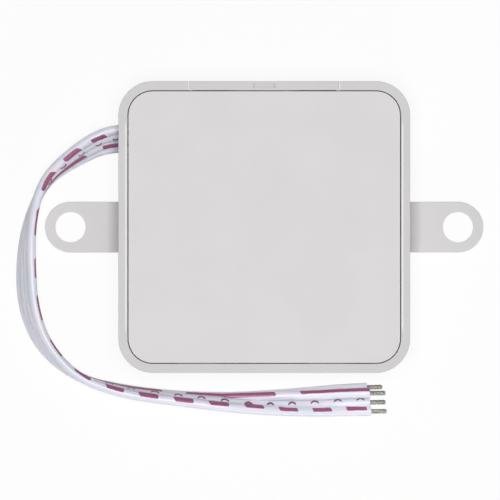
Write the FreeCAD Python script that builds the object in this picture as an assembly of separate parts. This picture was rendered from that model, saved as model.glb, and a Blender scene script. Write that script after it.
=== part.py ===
"""Zigbee motor control module for a wall box, with its flat four-core lead.

Millimetres. The origin is the middle of the flat back of the case, on the surface that it
rests on. X runs along the two fixing ears, Y up the front, and Z out of the front cover.
"""
import FreeCAD, Part

import math
import os

from FreeCAD import Vector

# Case
body_side = 45.0
body_height = 15.0
corner_radius = 5.3
wall = 1.42
floor_thickness = 1.6
outer_edge_round = 0.07
rim_bevel = 0.05
back_bevel = 0.4

# Fixing ears
ear_hole_spacing = 60.0
ear_width = 7.85
ear_thickness = 2.0
ear_hole_diameter = 4.7
ear_edge_round = 0.08

# Front cover, which tilts out about its lower edge
cover_gap = 0.12
cover_thickness = 1.6
cover_edge_bevel = 0.05
skirt_inset = 0.7
skirt_thickness = 1.0
skirt_depth = 1.0
lug_spacing = 20.0
lug_width = 6.0
lug_reach = 0.5
lug_thickness = 1.2
lug_depth = 1.1
lug_clearance = 0.2
nose_width = 9.6
nose_height = 0.9
nose_clearance = 0.09

# Latch tongue, cut free in the upper wall
tongue_width = 23.0
tongue_slit = 0.02
slit_bevel = 0.03
tongue_root = 0.4
relief_margin = 0.4
rib_width = 0.4
relief_depth = 0.04
relief_height = 2.0
rib_clearance = 0.06
rib_height = 1.0
notch_length = 3.4
notch_width = 0.67
notch_depth = 0.25
notch_end = 0.34
notch_end_depth = 0.5

# Circuit board and its four posts
board_thickness = 1.6
board_clearance = 0.6
post_height = 1.6
post_diameter = 5.0
post_inset = 4.0
fourth_post_gap = 3.1
screw_core = 1.7
screw_bore_clearance = 0.05
screw_end_gap = 0.6
screw_hole_clearance = 0.35
screw_head = (4.0, 1.5, 0.65)
screw_recess = (2.4, 0.5, 0.7)

# Flat lead: four round cores side by side
core_pitch = 1.4
core_gap = 0.1
tip_diameter = 0.6
tip_length = 2.43
lead_over_board = 2.2
exit_tilt = 46.0
port_side_clearance = 0.84
port_end_clearance = 0.49

# Clamp that holds the lead inside the port
clamp_distance = 4.0
clamp_length = 3.0
clamp_lead_gap = 0.35
clamp_wall_gap = 0.53
clamp_boss_diameter = 3.8
clamp_bar_thickness = 1.6
clamp_screw_core = 1.5
clamp_screw_head = (3.2, 1.1, 0.5)
clamp_screw_recess = (1.9, 0.4, 0.55)
clamp_screw_grip = 6.0
clamp_squeeze = 0.1
clamp_bore_end = 0.3
clamp_side_margin = 0.6
flat_lead_in = 0.7
twist_start = 0.2
twist_middle = 0.58

# Plug and header on the board
plug_pitch = 2.0
plug_length = 7.4
plug_side_wall = 0.27
plug_roof = 0.77
plug_clearance = 0.15
plug_distance = 3.6
plug_overhang = 1.6
plug_end_gap = 0.6
header_wall = 0.9
header_roof = 0.63
header_back = 1.0
terminal_wall = 0.4
terminal_clearance = 0.08
terminal_setback = 1.2
pin_size = 0.5
pin_clearance = 0.05
pin_reach = 4.8
pin_tail = 1.0
pin_drill_clearance = 0.2
pin_wall_clearance = 0.02

# Radio board with its shield and printed aerial
radio_edge_gap = 0.8
radio_screw_gap = 0.3
radio_size = (12.9, 17.2, 0.8)
castellation_radius = 0.35
castellation_pitch = 1.5
shield_size = (11.7, 11.4, 1.9)
shield_wall = 0.2
shield_margin = 0.6
shield_corner_round = 0.8
shield_top_round = 0.25
radio_chip_size = (7.0, 7.0, 0.9)
radio_chip_offset = (4.9, 4.8)
radio_crystal_size = (2.5, 2.0, 0.7)
radio_crystal_offset = (8.9, 9.6)
castellation_margin = 2.4
aerial_thickness = 0.1
aerial_width = 0.45
aerial_pitch = 1.1
aerial_reach = 3.2

# Power parts
can_from_post = 6.8
can_rise = -14.4
can_diameter = 6.3
can_headroom = 0.9
can_base_side = 6.6
can_base_height = 0.9
can_base_bevel = 1.05
can_top_round = 0.45
can_groove = 0.25
can_groove_height = 1.1
coil_edge_gap = 1.8
coil_rise = -7.6
coil_side = 6.0
coil_height = 2.8
coil_corner_round = 1.1
coil_ring = (4.8, 3.5, 0.28)
fuse_place = (-2.6, 2.4)
fuse_size = (4.5, 3.2, 1.1)
diode_places = ((-8.6, 0.2), (-8.6, 4.0))
diode_size = (4.3, 2.6, 2.1)
diode_bevel = 0.3
diode_leg_width = 1.45
diode_leg_rise = 1.15
diode_leg_reach = 0.65

# Chips with bent legs
leg_width = 0.4
leg_pitch = 1.27
leg_reach = 1.05
leg_thickness = 0.2
leg_shoulder = 0.42
chip_stand_off = 0.15
chip_bevel = 0.22
converter_place = (-7.6, -6.0)
converter_size = (5.0, 3.9, 1.5)
driver_place = (3.4, -8.4)
driver_size = (9.9, 3.9, 1.6)

# Small chip parts in rows
chip_length = 1.6
chip_width = 0.8
chip_end = 0.3
chip_capacitor_height = 0.8
chip_resistor_height = 0.45
row_pitch = 2.6
row_count = 4
row_start = -3.4
capacitor_row_rise = -12.6
resistor_row_rises = (-15.4, -18.0)
column_count = 5
column_start = 0.6
column_gap = 1.8

# Pairing switch and lamp
switch_edge_gap = 3.0
switch_screw_gap = 1.0
switch_side = 6.0
switch_base_height = 3.3
switch_plate_thickness = 0.3
button_diameter = 3.4
button_flange = 0.4
button_flange_height = 0.7
button_height = 1.5
button_bevel = 0.2
button_side_clearance = 0.12
button_top_clearance = 0.05
button_travel = 0.25
button_over_travel = 0.35
lamp_edge_gap = 11.2
lamp_rise = -14.4
lamp_size = (3.2, 2.8, 1.9)
lens_diameter = 2.3
lens_depth = 0.6
lens_clearance = 0.03

# The free lead's route beyond the port, chosen point by point: the middle between the two
# inner cores seen from the front, the height of the lowest core, the tilt of the lead's
# section between cores d and c, between c and b, and between b and a, and how far b and c
# have come apart.
exit_run = 2.6
lead_route = [
    (-29.05, 11.15, 4.30, 64.0, 61.0, 63.0, 0.0),
    (-34.05, 7.20, 2.30, 86.0, 83.0, 80.0, 0.0),
    (-36.35, 1.00, 1.00, 101.0, 100.0, 100.0, 0.0),
    (-36.95, -5.50, 0.70, 115.0, 114.0, 116.0, 0.0),
    (-36.60, -12.40, 0.70, 117.0, 116.0, 118.0, 0.0),
    (-34.25, -18.50, 0.70, 109.0, 108.0, 109.0, 0.0),
    (-29.00, -23.45, 0.70, 91.0, 91.0, 91.0, 0.0),
    (-21.45, -25.55, 0.70, 92.0, 80.0, 80.0, 0.0),
    (-13.45, -26.30, 0.70, 94.0, 76.0, 66.0, 0.0),
    (-5.45, -26.90, 0.70, 91.0, 54.0, 58.0, 0.0),
    (1.40, -27.00, 0.70, 75.0, 34.0, 52.0, 0.0),
    (7.80, -27.00, 0.70, 59.0, -12.0, 44.0, 0.22),
    (12.60, -26.75, 0.70, 48.0, -33.0, 24.0, 0.32),
    (16.20, -26.60, 0.70, 43.0, -34.0, 3.0, 0.32),
]
# Each core's place across the lead, in pitches, and how far its end is cut past the route.
cores = {"a": (1.5, 0.45), "b": (0.5, 0.15), "c": (-0.5, 0.15), "d": (-1.5, -0.30)}
run_share = 0.45

# How far a cutting shape runs past what it cuts
past = 1.0

# Heights and edges that follow from the sizes above
half_side = body_side / 2
inner_face = half_side - wall
cover_half = inner_face - cover_gap
cover_bottom = body_height - cover_thickness
board_bottom = floor_thickness + post_height
board_top = board_bottom + board_thickness
board_half = inner_face - board_clearance
tongue_bottom = floor_thickness + tongue_root
relief_inner = nose_width / 2 + relief_margin
relief_outer = tongue_width / 2 - rib_width
post_out = board_half - post_inset

# The lead's path through the port, the clamp and the plug
core_diameter = core_pitch - core_gap
max_place = max(place for place, _ in cores.values())
half_lead = max_place * core_pitch
exit_height = board_top + lead_over_board
clamp_screw_reach = half_lead + core_diameter / 2 + clamp_lead_gap + clamp_boss_diameter / 2
exit_rise = inner_face - clamp_wall_gap - clamp_boss_diameter / 2 - clamp_screw_reach
port_half_width = (half_lead * math.cos(math.radians(exit_tilt)) + core_diameter / 2
                   + port_side_clearance)
port_half_height = (half_lead * math.sin(math.radians(exit_tilt)) + core_diameter / 2
                    + port_end_clearance)
seam_x = -half_side + wall / 2
clamp_outer_x = -inner_face + clamp_distance
clamp_inner_x = clamp_outer_x + clamp_length
notch_margin = clamp_boss_diameter / 2 + clamp_side_margin
notch_low = exit_rise - clamp_screw_reach - notch_margin
way_side = core_diameter + 2 * terminal_clearance
plug_half_width = max_place * plug_pitch + way_side / 2 + plug_side_wall
plug_half_height = way_side / 2 + plug_roof
plug_back_x = clamp_inner_x + plug_distance
plug_front_x = plug_back_x + plug_length
header_front_x = plug_back_x + plug_overhang
header_back_x = plug_front_x + plug_end_gap + header_back

# Where the parts stand on the board, from its edges and its screws
head_reach = screw_head[0] / 2
radio_corner = (board_half - radio_edge_gap - radio_size[0],
                post_out - head_reach - radio_screw_gap - radio_size[1])
can_place = (-post_out + can_from_post, can_rise)
can_height = cover_bottom - can_headroom - board_top - can_base_height
coil_place = (-board_half + coil_edge_gap + coil_side / 2, coil_rise)
switch_place = (board_half - switch_edge_gap - switch_side / 2,
                -post_out + head_reach + switch_screw_gap + switch_side / 2)
lamp_place = (board_half - lamp_edge_gap, lamp_rise)
column_x = radio_corner[0] - column_gap


def box(x0, x1, y0, y1, z0, z1):
    """Return the block between two opposite corners."""
    return Part.makeBox(x1 - x0, y1 - y0, z1 - z0, Vector(x0, y0, z0))


def block_at(place, size, z):
    """Return a block centred on a place of the board, standing at height z."""
    x, y = place
    length, width, height = size
    return box(x - length / 2, x + length / 2, y - width / 2, y + width / 2, z, z + height)


def rod(x, y, z0, z1, diameter):
    """Return an upright round rod."""
    return Part.makeCylinder(diameter / 2, z1 - z0, Vector(x, y, z0))


def rounded_slab(half, radius, z0, z1):
    """Return a square slab with round upright corners."""
    slab = box(-half, half, -half, half, z0, z1)
    upright = [edge for edge in slab.Edges if edge.BoundBox.ZLength > (z1 - z0) / 2]
    return slab.makeFillet(radius, upright)


def edges_at_height(shape, z):
    """Return the edges of a shape that lie in the plane at height z."""
    return [edge for edge in shape.Edges
            if abs(edge.BoundBox.ZMin - z) < 1e-6 and abs(edge.BoundBox.ZMax - z) < 1e-6]


def fuse_all(shapes):
    """Return the union of several shapes."""
    first, *rest = shapes
    return first.fuse(rest).removeSplitter() if rest else first


def group(shapes):
    """Return several separate solids as one group."""
    return Part.makeCompound(shapes)


def tube(points, diameter):
    """Return a round tube on straight runs joined by tangent arcs, its length and its bends."""
    edges = []
    bends = []
    start = points[0]
    for before, corner, after in zip(points, points[1:], points[2:]):
        arrive = (corner - before).normalize()
        leave = (after - corner).normalize()
        reach = run_share * min((corner - before).Length, (after - corner).Length)
        half_turn = arrive.getAngle(leave) / 2
        bend = reach / math.tan(half_turn)
        inward = (leave - arrive).normalize()
        first = corner - arrive * reach
        last = corner + leave * reach
        middle = corner + inward * (bend / math.cos(half_turn) - bend)
        edges.append(Part.LineSegment(start, first).toShape())
        edges.append(Part.Arc(first, middle, last).toShape())
        bends.append(bend)
        start = last
    edges.append(Part.LineSegment(start, points[-1]).toShape())
    path = Part.Wire(edges)
    ring = Part.Circle(points[0], points[1] - points[0], diameter / 2).toShape()
    return path.makePipeShell([Part.Wire([ring])], True), path.Length, bends


def screw(x, y, seat, length, core, head, recess):
    """Return a pan-head screw whose head rests at height seat, with a cross pressed in it."""
    head_diameter, head_height, head_round = head
    recess_length, recess_width, recess_depth = recess
    top = seat + head_height
    cap = rod(x, y, seat, top, head_diameter)
    cap = cap.makeFillet(head_round, edges_at_height(cap, top))
    shank = rod(x, y, seat - length, seat, core)
    along = block_at((x, y), (recess_length, recess_width, recess_depth), top - recess_depth)
    across = block_at((x, y), (recess_width, recess_length, recess_depth), top - recess_depth)
    return cap.fuse(shank).cut([along, across])


def post_places():
    """Return where the board's four posts stand; the fourth stands clear of the lead."""
    out = post_out
    return [(out, out), (out, -out), (-out, -out), (-out, notch_low - fourth_post_gap)]


def clamp_places():
    """Return the centres of the two clamp screws."""
    x = (clamp_outer_x + clamp_inner_x) / 2
    return [(x, exit_rise + side * clamp_screw_reach) for side in (-1, 1)]


def lug_places():
    """Return the X of the cover's two lower lugs."""
    return [-lug_spacing / 2, lug_spacing / 2]


def clamp_outline(z0, z1):
    """Return the clamp's plan, a bar with a round end at each screw."""
    (x, low), (_, high) = clamp_places()
    bar = box(clamp_outer_x, clamp_inner_x, low, high, z0, z1)
    ends = [rod(x, y, z0, z1, clamp_boss_diameter) for y in (low, high)]
    return fuse_all([bar] + ends)


def make_case():
    """Return the whole moulded case with its edges finished, before the tongue is cut free."""
    block = rounded_slab(half_side, corner_radius, 0, body_height)
    block = block.makeFillet(outer_edge_round, edges_at_height(block, body_height))
    block = block.makeChamfer(back_bevel, edges_at_height(block, 0))
    ear_radius = ear_width / 2
    bar = box(-ear_hole_spacing / 2, ear_hole_spacing / 2, -ear_radius, ear_radius,
              0, ear_thickness)
    ends = [rod(side * ear_hole_spacing / 2, 0, 0, ear_thickness, ear_width)
            for side in (-1, 1)]
    ears = fuse_all([bar] + ends)
    ears = ears.makeFillet(ear_edge_round, edges_at_height(ears, ear_thickness))
    case = block.fuse(ears)
    opening = rounded_slab(inner_face, corner_radius - wall, floor_thickness,
                           body_height + past)
    case = case.cut(opening)
    mouth = [edge for edge in edges_at_height(case, body_height)
             if max(edge.BoundBox.XMax, edge.BoundBox.YMax, -edge.BoundBox.XMin,
                    -edge.BoundBox.YMin) < inner_face + wall / 4]
    case = case.makeChamfer(rim_bevel, mouth)
    holes = [rod(side * ear_hole_spacing / 2, 0, -past, ear_thickness + past, ear_hole_diameter)
             for side in (-1, 1)]
    return case.cut(holes + [slit_wedge(side) for side in (-1, 1)])


def slit_wedge(side):
    """Return the wedge that bevels the wall on both sides of one slit at the rim."""
    middle = side * (tongue_width + tongue_slit) / 2
    deep = tongue_slit / 2 + slit_bevel
    back = inner_face - past
    top = body_height + past
    corners = [Vector(middle - deep - past, back, top), Vector(middle + deep + past, back, top),
               Vector(middle, back, body_height - deep)]
    section = Part.Face(Part.makePolygon(corners + corners[:1]))
    return section.extrude(Vector(0, wall + 2 * past, 0))


def tongue_zone(margin):
    """Return the block of the upper wall that holds the tongue, widened by a margin."""
    half = tongue_width / 2 + margin
    return box(-half, half, inner_face - past, half_side + past, tongue_bottom,
               body_height + past)


def make_rear_housing(case):
    """Return the case with its ears, posts, clamp saddle, cable port and lug pockets."""
    shell = case.cut(tongue_zone(tongue_slit))
    shell = shell.fuse([rod(x, y, floor_thickness, board_bottom, post_diameter)
                        for x, y in post_places()])
    saddle = clamp_outline(floor_thickness, exit_height - core_pitch / 2)
    bosses = [rod(x, y, floor_thickness, exit_height + core_pitch / 2 - clamp_squeeze,
                  clamp_boss_diameter) for x, y in clamp_places()]
    shell = shell.fuse([saddle] + bosses)
    bore = screw_core + 2 * screw_bore_clearance
    clamp_bore = clamp_screw_core + 2 * screw_bore_clearance
    cuts = [rod(x, y, floor_thickness / 2, board_bottom, bore) for x, y in post_places()]
    clamp_top = exit_height + core_pitch / 2
    cuts += [rod(x, y, clamp_top - clamp_screw_grip - clamp_bore_end, clamp_top, clamp_bore)
             for x, y in clamp_places()]
    cuts.append(box(-half_side - past, -inner_face + past,
                    exit_rise - port_half_width, exit_rise + port_half_width,
                    exit_height - port_half_height, exit_height + port_half_height))
    for x in lug_places():
        half = lug_width / 2 + lug_clearance
        cuts.append(box(x - half, x + half, -inner_face - lug_reach - lug_clearance,
                        -inner_face + past,
                        cover_bottom - lug_depth - lug_thickness - 2 * lug_clearance,
                        cover_bottom - lug_depth + 2 * lug_clearance))
    return shell.cut(cuts)


def make_latch_tongue(case):
    """Return the springy tongue with its relieved edge, ribs, nose pocket and notch."""
    tongue = case.common(tongue_zone(0))
    rim = body_height
    for side in (-1, 1):
        x0, x1 = sorted((side * relief_inner, side * relief_outer))
        tongue = tongue.cut(box(x0, x1, inner_face - past, inner_face + relief_depth,
                                rim - relief_height, rim + past))
        x0, x1 = sorted((side * relief_outer, side * tongue_width / 2))
        rib_top = rim - rim_bevel
        tongue = tongue.fuse(box(x0, x1, cover_half + rib_clearance, inner_face + wall / 2,
                                 rib_top - rib_height, rib_top))
    half = nose_width / 2 + lug_clearance
    tongue = tongue.cut(box(-half, half, inner_face - past, inner_face + lug_reach,
                            cover_bottom - nose_height - lug_clearance,
                            cover_bottom + lug_clearance))
    y0 = inner_face + (wall - notch_width) / 2
    half = notch_length / 2
    tongue = tongue.cut(box(-half, half, y0, y0 + notch_width, rim - notch_depth,
                            rim + past))
    for side in (-1, 1):
        x0, x1 = sorted((side * (half - notch_end), side * half))
        tongue = tongue.cut(box(x0, x1, y0, y0 + notch_width, rim - notch_end_depth,
                                rim + past))
    return tongue


def make_front_cover():
    """Return the inset cover with its skirt, its two lower lugs and its latch nose."""
    plate = rounded_slab(cover_half, corner_radius - wall - cover_gap, cover_bottom, body_height)
    plate = plate.makeChamfer(cover_edge_bevel, edges_at_height(plate, body_height))
    outside = cover_half - skirt_inset
    outside_radius = corner_radius - wall - cover_gap - skirt_inset
    skirt = rounded_slab(outside, outside_radius, cover_bottom - skirt_depth, cover_bottom)
    skirt = skirt.cut(rounded_slab(outside - skirt_thickness, outside_radius - skirt_thickness,
                                   cover_bottom - skirt_depth - past, cover_bottom))
    parts = [plate, skirt]
    lug_top = cover_bottom - lug_depth
    for x in lug_places():
        half = lug_width / 2
        root = -outside + skirt_thickness
        parts.append(box(x - half, x + half, -cover_half, root, lug_top - lug_thickness,
                         cover_bottom))
        parts.append(box(x - half, x + half, -inner_face - lug_reach, root,
                         lug_top - lug_thickness, lug_top))
    parts.append(box(-nose_width / 2, nose_width / 2, outside - skirt_thickness,
                     inner_face - nose_clearance, cover_bottom - nose_height, cover_bottom))
    return fuse_all(parts)


def make_circuit_board():
    """Return the main board with its corner cut away for the lead and its drilled holes."""
    board = rounded_slab(board_half, corner_radius - wall - board_clearance, board_bottom,
                         board_top)
    cuts = [box(-board_half - past, clamp_inner_x + notch_margin, notch_low,
                board_half + past, board_bottom - past, board_top + past)]
    hole = screw_core + 2 * screw_hole_clearance
    cuts += [rod(x, y, board_bottom - past, board_top + past, hole) for x, y in post_places()]
    drill = pin_size * math.sqrt(2) + pin_drill_clearance
    cuts += [rod(x, y, board_bottom - past, board_top + past, drill)
             for x, y in pin_tail_places()]
    return board.cut(cuts)


def plug_rows():
    """Return the Y of the four ways of the plug, from core a to core d."""
    return [exit_rise + place * plug_pitch for place, _ in cores.values()]


def pin_tail_places():
    """Return where the four header pins go down through the board."""
    return [(header_back_x + pin_size, y) for y in plug_rows()]


def make_board_screws():
    """Return the four screws that hold the board."""
    length = board_top - floor_thickness / 2 - screw_end_gap
    return group([screw(x, y, board_top, length, screw_core, screw_head, screw_recess)
                  for x, y in post_places()])


def make_clamp_bar():
    """Return the bar that presses the flat lead onto its saddle."""
    bottom = exit_height + core_pitch / 2
    bar = clamp_outline(bottom, bottom + clamp_bar_thickness)
    hole = clamp_screw_core + 2 * screw_hole_clearance
    return bar.cut([rod(x, y, bottom - past, bottom + clamp_bar_thickness + past, hole)
                    for x, y in clamp_places()])


def make_clamp_screws():
    """Return the two screws of the clamp bar."""
    seat = exit_height + core_pitch / 2 + clamp_bar_thickness
    length = clamp_bar_thickness + clamp_screw_grip
    return group([screw(x, y, seat, length, clamp_screw_core, clamp_screw_head,
                        clamp_screw_recess) for x, y in clamp_places()])


def make_header_housing():
    """Return the socket on the board that the plug slides into."""
    half_width = plug_half_width + plug_clearance
    half_height = plug_half_height + plug_clearance
    shell = box(header_front_x, header_back_x, exit_rise - half_width - header_wall,
                exit_rise + half_width + header_wall, board_top,
                exit_height + half_height + header_roof)
    room = box(header_front_x - past, header_back_x - header_back, exit_rise - half_width,
               exit_rise + half_width, exit_height - half_height, exit_height + half_height)
    side = pin_size + 2 * pin_wall_clearance
    ways = [block_at((header_back_x - header_back / 2, y), (header_back * 2, side, side),
                     exit_height - side / 2) for y in plug_rows()]
    return shell.cut([room] + ways)


def make_header_pins():
    """Return the four bent pins of the header."""
    pins = []
    half = pin_size / 2
    for x, y in pin_tail_places():
        level = box(header_back_x - header_back - pin_reach, x + half, y - half, y + half,
                    exit_height - half, exit_height + half)
        tail = box(x - half, x + half, y - half, y + half, board_bottom - pin_tail,
                   exit_height)
        pins.append(level.fuse(tail).removeSplitter())
    return group(pins)


def make_plug_housing():
    """Return the plug body with one square way for each core."""
    body = box(plug_back_x, plug_front_x, exit_rise - plug_half_width,
               exit_rise + plug_half_width, exit_height - plug_half_height,
               exit_height + plug_half_height)
    half = way_side / 2
    ways = [box(plug_back_x - past, plug_front_x + past, y - half, y + half,
                exit_height - half, exit_height + half) for y in plug_rows()]
    return body.cut(ways)


def make_plug_terminals():
    """Return the four crimped contacts inside the plug."""
    terminals = []
    side = way_side - terminal_clearance
    room = pin_size + 2 * pin_clearance
    back = plug_back_x + terminal_setback
    for y in plug_rows():
        body = box(back, plug_front_x - terminal_clearance, y - side / 2, y + side / 2,
                   exit_height - side / 2, exit_height + side / 2)
        hole = box(header_back_x - header_back - pin_reach - terminal_wall, plug_front_x + past,
                   y - room / 2, y + room / 2, exit_height - room / 2, exit_height + room / 2)
        terminals.append(body.cut(hole))
    return group(terminals)


def make_inner_leads():
    """Return the lead's four cores from the port, under the clamp and into the plug."""
    shapes = []
    twist_room = clamp_outer_x - flat_lead_in - seam_x
    twist_x = seam_x + twist_room * twist_middle
    first_x = seam_x + twist_room * twist_start
    for place, _ in cores.values():
        across = place * core_pitch
        points = []
        for x, tilt in ((seam_x, exit_tilt), (first_x, exit_tilt), (twist_x, exit_tilt / 2)):
            angle = math.radians(tilt)
            points.append(Vector(x, exit_rise + across * math.cos(angle),
                                 exit_height + across * math.sin(angle)))
        points.append(Vector(clamp_outer_x - flat_lead_in, exit_rise + across, exit_height))
        points.append(Vector(clamp_inner_x, exit_rise + across, exit_height))
        fan_end = plug_back_x - terminal_setback / 2
        points.append(Vector(fan_end, exit_rise + place * plug_pitch, exit_height))
        points.append(Vector(plug_back_x + terminal_setback, exit_rise + place * plug_pitch,
                             exit_height))
        shape, _, _ = tube(points, core_diameter)
        shapes.append(shape)
    return group(shapes)


def make_radio_board():
    """Return the small radio board with its half-round side contacts."""
    x, y = radio_corner
    length, width, height = radio_size
    board = box(x, x + length, y, y + width, board_top, board_top + height)
    cuts = []
    count = int((width - castellation_margin) / castellation_pitch)
    start = y + (width - (count - 1) * castellation_pitch) / 2
    for index in range(count):
        for edge in (x, x + length):
            cuts.append(rod(edge, start + index * castellation_pitch, board_top - past,
                            board_top + height + past, 2 * castellation_radius))
    return board.cut(cuts)


def shield_corner():
    """Return the lower left corner of the radio's shield."""
    x, y = radio_corner
    return (x + (radio_size[0] - shield_size[0]) / 2, y + shield_margin)


def make_radio_shield():
    """Return the folded metal can over the radio chip."""
    x, y = shield_corner()
    length, width, height = shield_size
    z = board_top + radio_size[2]
    can = box(x, x + length, y, y + width, z, z + height)
    upright = [edge for edge in can.Edges if edge.BoundBox.ZLength > height / 2]
    can = can.makeFillet(shield_corner_round, upright)
    can = can.makeFillet(shield_top_round, edges_at_height(can, z + height))
    room = box(x + shield_wall, x + length - shield_wall, y + shield_wall,
               y + width - shield_wall, z - past, z + height - shield_wall)
    upright = [edge for edge in room.Edges if edge.BoundBox.ZLength > height / 2]
    return can.cut(room.makeFillet(shield_corner_round - shield_wall, upright))


def make_radio_chip():
    """Return the radio chip under the shield."""
    x, y = shield_corner()
    place = (x + radio_chip_offset[0], y + radio_chip_offset[1])
    return block_at(place, radio_chip_size, board_top + radio_size[2])


def make_radio_crystal():
    """Return the crystal beside the radio chip."""
    x, y = shield_corner()
    place = (x + radio_crystal_offset[0], y + radio_crystal_offset[1])
    return block_at(place, radio_crystal_size, board_top + radio_size[2])


def make_radio_aerial():
    """Return the copper track that runs up and down across the end of the radio board."""
    x, y = radio_corner
    z = board_top + radio_size[2]
    top = y + radio_size[1] - aerial_width
    low = top - aerial_reach
    span = radio_size[0] - 4 * castellation_radius - 2 * aerial_width
    count = int(span / aerial_pitch)
    start = x + (radio_size[0] - count * aerial_pitch) / 2
    strips = []
    for index in range(count + 1):
        left = start + index * aerial_pitch - aerial_width / 2
        strips.append(box(left, left + aerial_width, low, top, z, z + aerial_thickness))
        if index < count:
            level = top - aerial_width if index % 2 == 0 else low
            strips.append(box(left, left + aerial_pitch + aerial_width, level,
                              level + aerial_width, z, z + aerial_thickness))
    return fuse_all(strips)


def make_capacitor_base():
    """Return the square plastic foot of the smoothing capacitor."""
    base = block_at(can_place, (can_base_side, can_base_side, can_base_height), board_top)
    corners = [edge for edge in base.Edges if edge.BoundBox.ZLength > can_base_height / 2
               and edge.BoundBox.XMin > can_place[0]]
    return base.makeChamfer(can_base_bevel, corners)


def make_capacitor_can():
    """Return the aluminium can of the smoothing capacitor, crimped above its foot."""
    x, y = can_place
    z = board_top + can_base_height
    can = rod(x, y, z, z + can_height, can_diameter)
    can = can.makeFillet(can_top_round, edges_at_height(can, z + can_height))
    groove = Part.makeTorus(can_diameter / 2 + can_groove, 2 * can_groove,
                            Vector(x, y, z + can_groove_height))
    return can.cut(groove)


def make_power_inductor():
    """Return the shielded choke with the ring of its winding showing on top."""
    body = block_at(coil_place, (coil_side, coil_side, coil_height), board_top)
    upright = [edge for edge in body.Edges if edge.BoundBox.ZLength > coil_height / 2]
    body = body.makeFillet(coil_corner_round, upright)
    x, y = coil_place
    top = board_top + coil_height
    outer, inner, depth = coil_ring
    ring = rod(x, y, top - depth, top + past, outer).cut(rod(x, y, top - depth, top + past, inner))
    return body.cut(ring)


def make_input_fuse():
    """Return the resettable fuse."""
    return block_at(fuse_place, fuse_size, board_top)


def make_diodes():
    """Return the bodies of the two diodes."""
    bodies = []
    for place in diode_places:
        body = block_at(place, diode_size, board_top + chip_stand_off)
        top = board_top + chip_stand_off + diode_size[2]
        bodies.append(body.makeChamfer(diode_bevel, edges_at_height(body, top)))
    return group(bodies)


def make_diode_legs():
    """Return the bent tabs at both ends of each diode."""
    tabs = []
    for x, y in diode_places:
        for side in (-1, 1):
            end = x + side * diode_size[0] / 2
            x0, x1 = sorted((end, end + side * leg_thickness))
            half = diode_leg_width / 2
            upright = box(x0, x1, y - half, y + half, board_top, board_top + diode_leg_rise)
            x0, x1 = sorted((end, end + side * diode_leg_reach))
            foot = box(x0, x1, y - half, y + half, board_top, board_top + leg_thickness)
            tabs.append(upright.fuse(foot).removeSplitter())
    return group(tabs)


def make_chip(place, size):
    """Return a chip's moulded body, standing off the board on its legs."""
    body = block_at(place, size, board_top + chip_stand_off)
    top = board_top + chip_stand_off + size[2]
    return body.makeChamfer(chip_bevel, edges_at_height(body, top))


def make_chip_legs(place, size):
    """Return the two rows of bent legs of a chip whose length runs along X."""
    x, y = place
    length, width, height = size
    count = int((length - leg_width) / leg_pitch) + 1
    start = x - (count - 1) * leg_pitch / 2
    shoulder = board_top + chip_stand_off + height / 2
    legs = []
    for index in range(count):
        x0 = start + index * leg_pitch - leg_width / 2
        x1 = x0 + leg_width
        for side in (-1, 1):
            edge = y + side * width / 2
            bend = edge + side * leg_shoulder
            toe = edge + side * leg_reach
            parts = []
            for y0, y1, z0, z1 in (
                    (edge, bend, shoulder - leg_thickness, shoulder),
                    (bend - side * leg_thickness, bend, board_top, shoulder),
                    (bend - side * leg_thickness, toe, board_top, board_top + leg_thickness)):
                low, high = sorted((y0, y1))
                parts.append(box(x0, x1, low, high, z0, z1))
            legs.append(fuse_all(parts))
    return group(legs)


def row_places(rise):
    """Return the places of a row of chip parts that runs along X."""
    return [(row_start + index * row_pitch, rise) for index in range(row_count)]


def chip_bodies(places, height):
    """Return the bodies of small chip parts, between their soldered ends."""
    length = chip_length - 2 * chip_end
    return [block_at(place, (length, chip_width, height), board_top) for place in places]


def chip_ends(places, height):
    """Return the soldered metal ends of small chip parts."""
    ends = []
    for x, y in places:
        for side in (-1, 1):
            place = (x + side * (chip_length - chip_end) / 2, y)
            ends.append(block_at(place, (chip_end, chip_width, height), board_top))
    return ends


def capacitor_places():
    """Return where the small chip capacitors stand: a row, and a column beside the radio."""
    column = [(column_x, column_start + index * row_pitch) for index in range(column_count)]
    return row_places(capacitor_row_rise) + column


def resistor_places():
    """Return where the chip resistors stand, in two rows."""
    return [place for rise in resistor_row_rises for place in row_places(rise)]


def make_chip_terminals():
    """Return the metal ends of all the small chip parts."""
    return group(chip_ends(capacitor_places(), chip_capacitor_height)
                 + chip_ends(resistor_places(), chip_resistor_height))


def switch_room():
    """Return the diameter of the round room for the button's flange."""
    return button_diameter + 2 * (button_flange + button_side_clearance)


def make_switch_base():
    """Return the switch's moulded base with the round room for the button."""
    base = block_at(switch_place, (switch_side, switch_side, switch_base_height), board_top)
    top = board_top + switch_base_height
    x, y = switch_place
    depth = (button_top_clearance + button_flange_height + button_travel
             + button_over_travel)
    return base.cut(rod(x, y, top - depth, top + past, switch_room()))


def make_switch_plate():
    """Return the switch's metal top with its hole for the button."""
    z = board_top + switch_base_height
    plate = block_at(switch_place, (switch_side, switch_side, switch_plate_thickness), z)
    x, y = switch_place
    hole = button_diameter + 2 * button_side_clearance
    return plate.cut(rod(x, y, z - past, z + past, hole))


def make_pairing_button():
    """Return the button, held in by the flange under the metal top."""
    x, y = switch_place
    flange_top = board_top + switch_base_height - button_top_clearance
    top = board_top + switch_base_height + switch_plate_thickness + button_height
    stem = rod(x, y, flange_top - button_flange_height, top, button_diameter)
    stem = stem.makeChamfer(button_bevel, edges_at_height(stem, top))
    flange = rod(x, y, flange_top - button_flange_height, flange_top,
                 button_diameter + 2 * button_flange)
    return stem.fuse(flange).removeSplitter()


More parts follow.
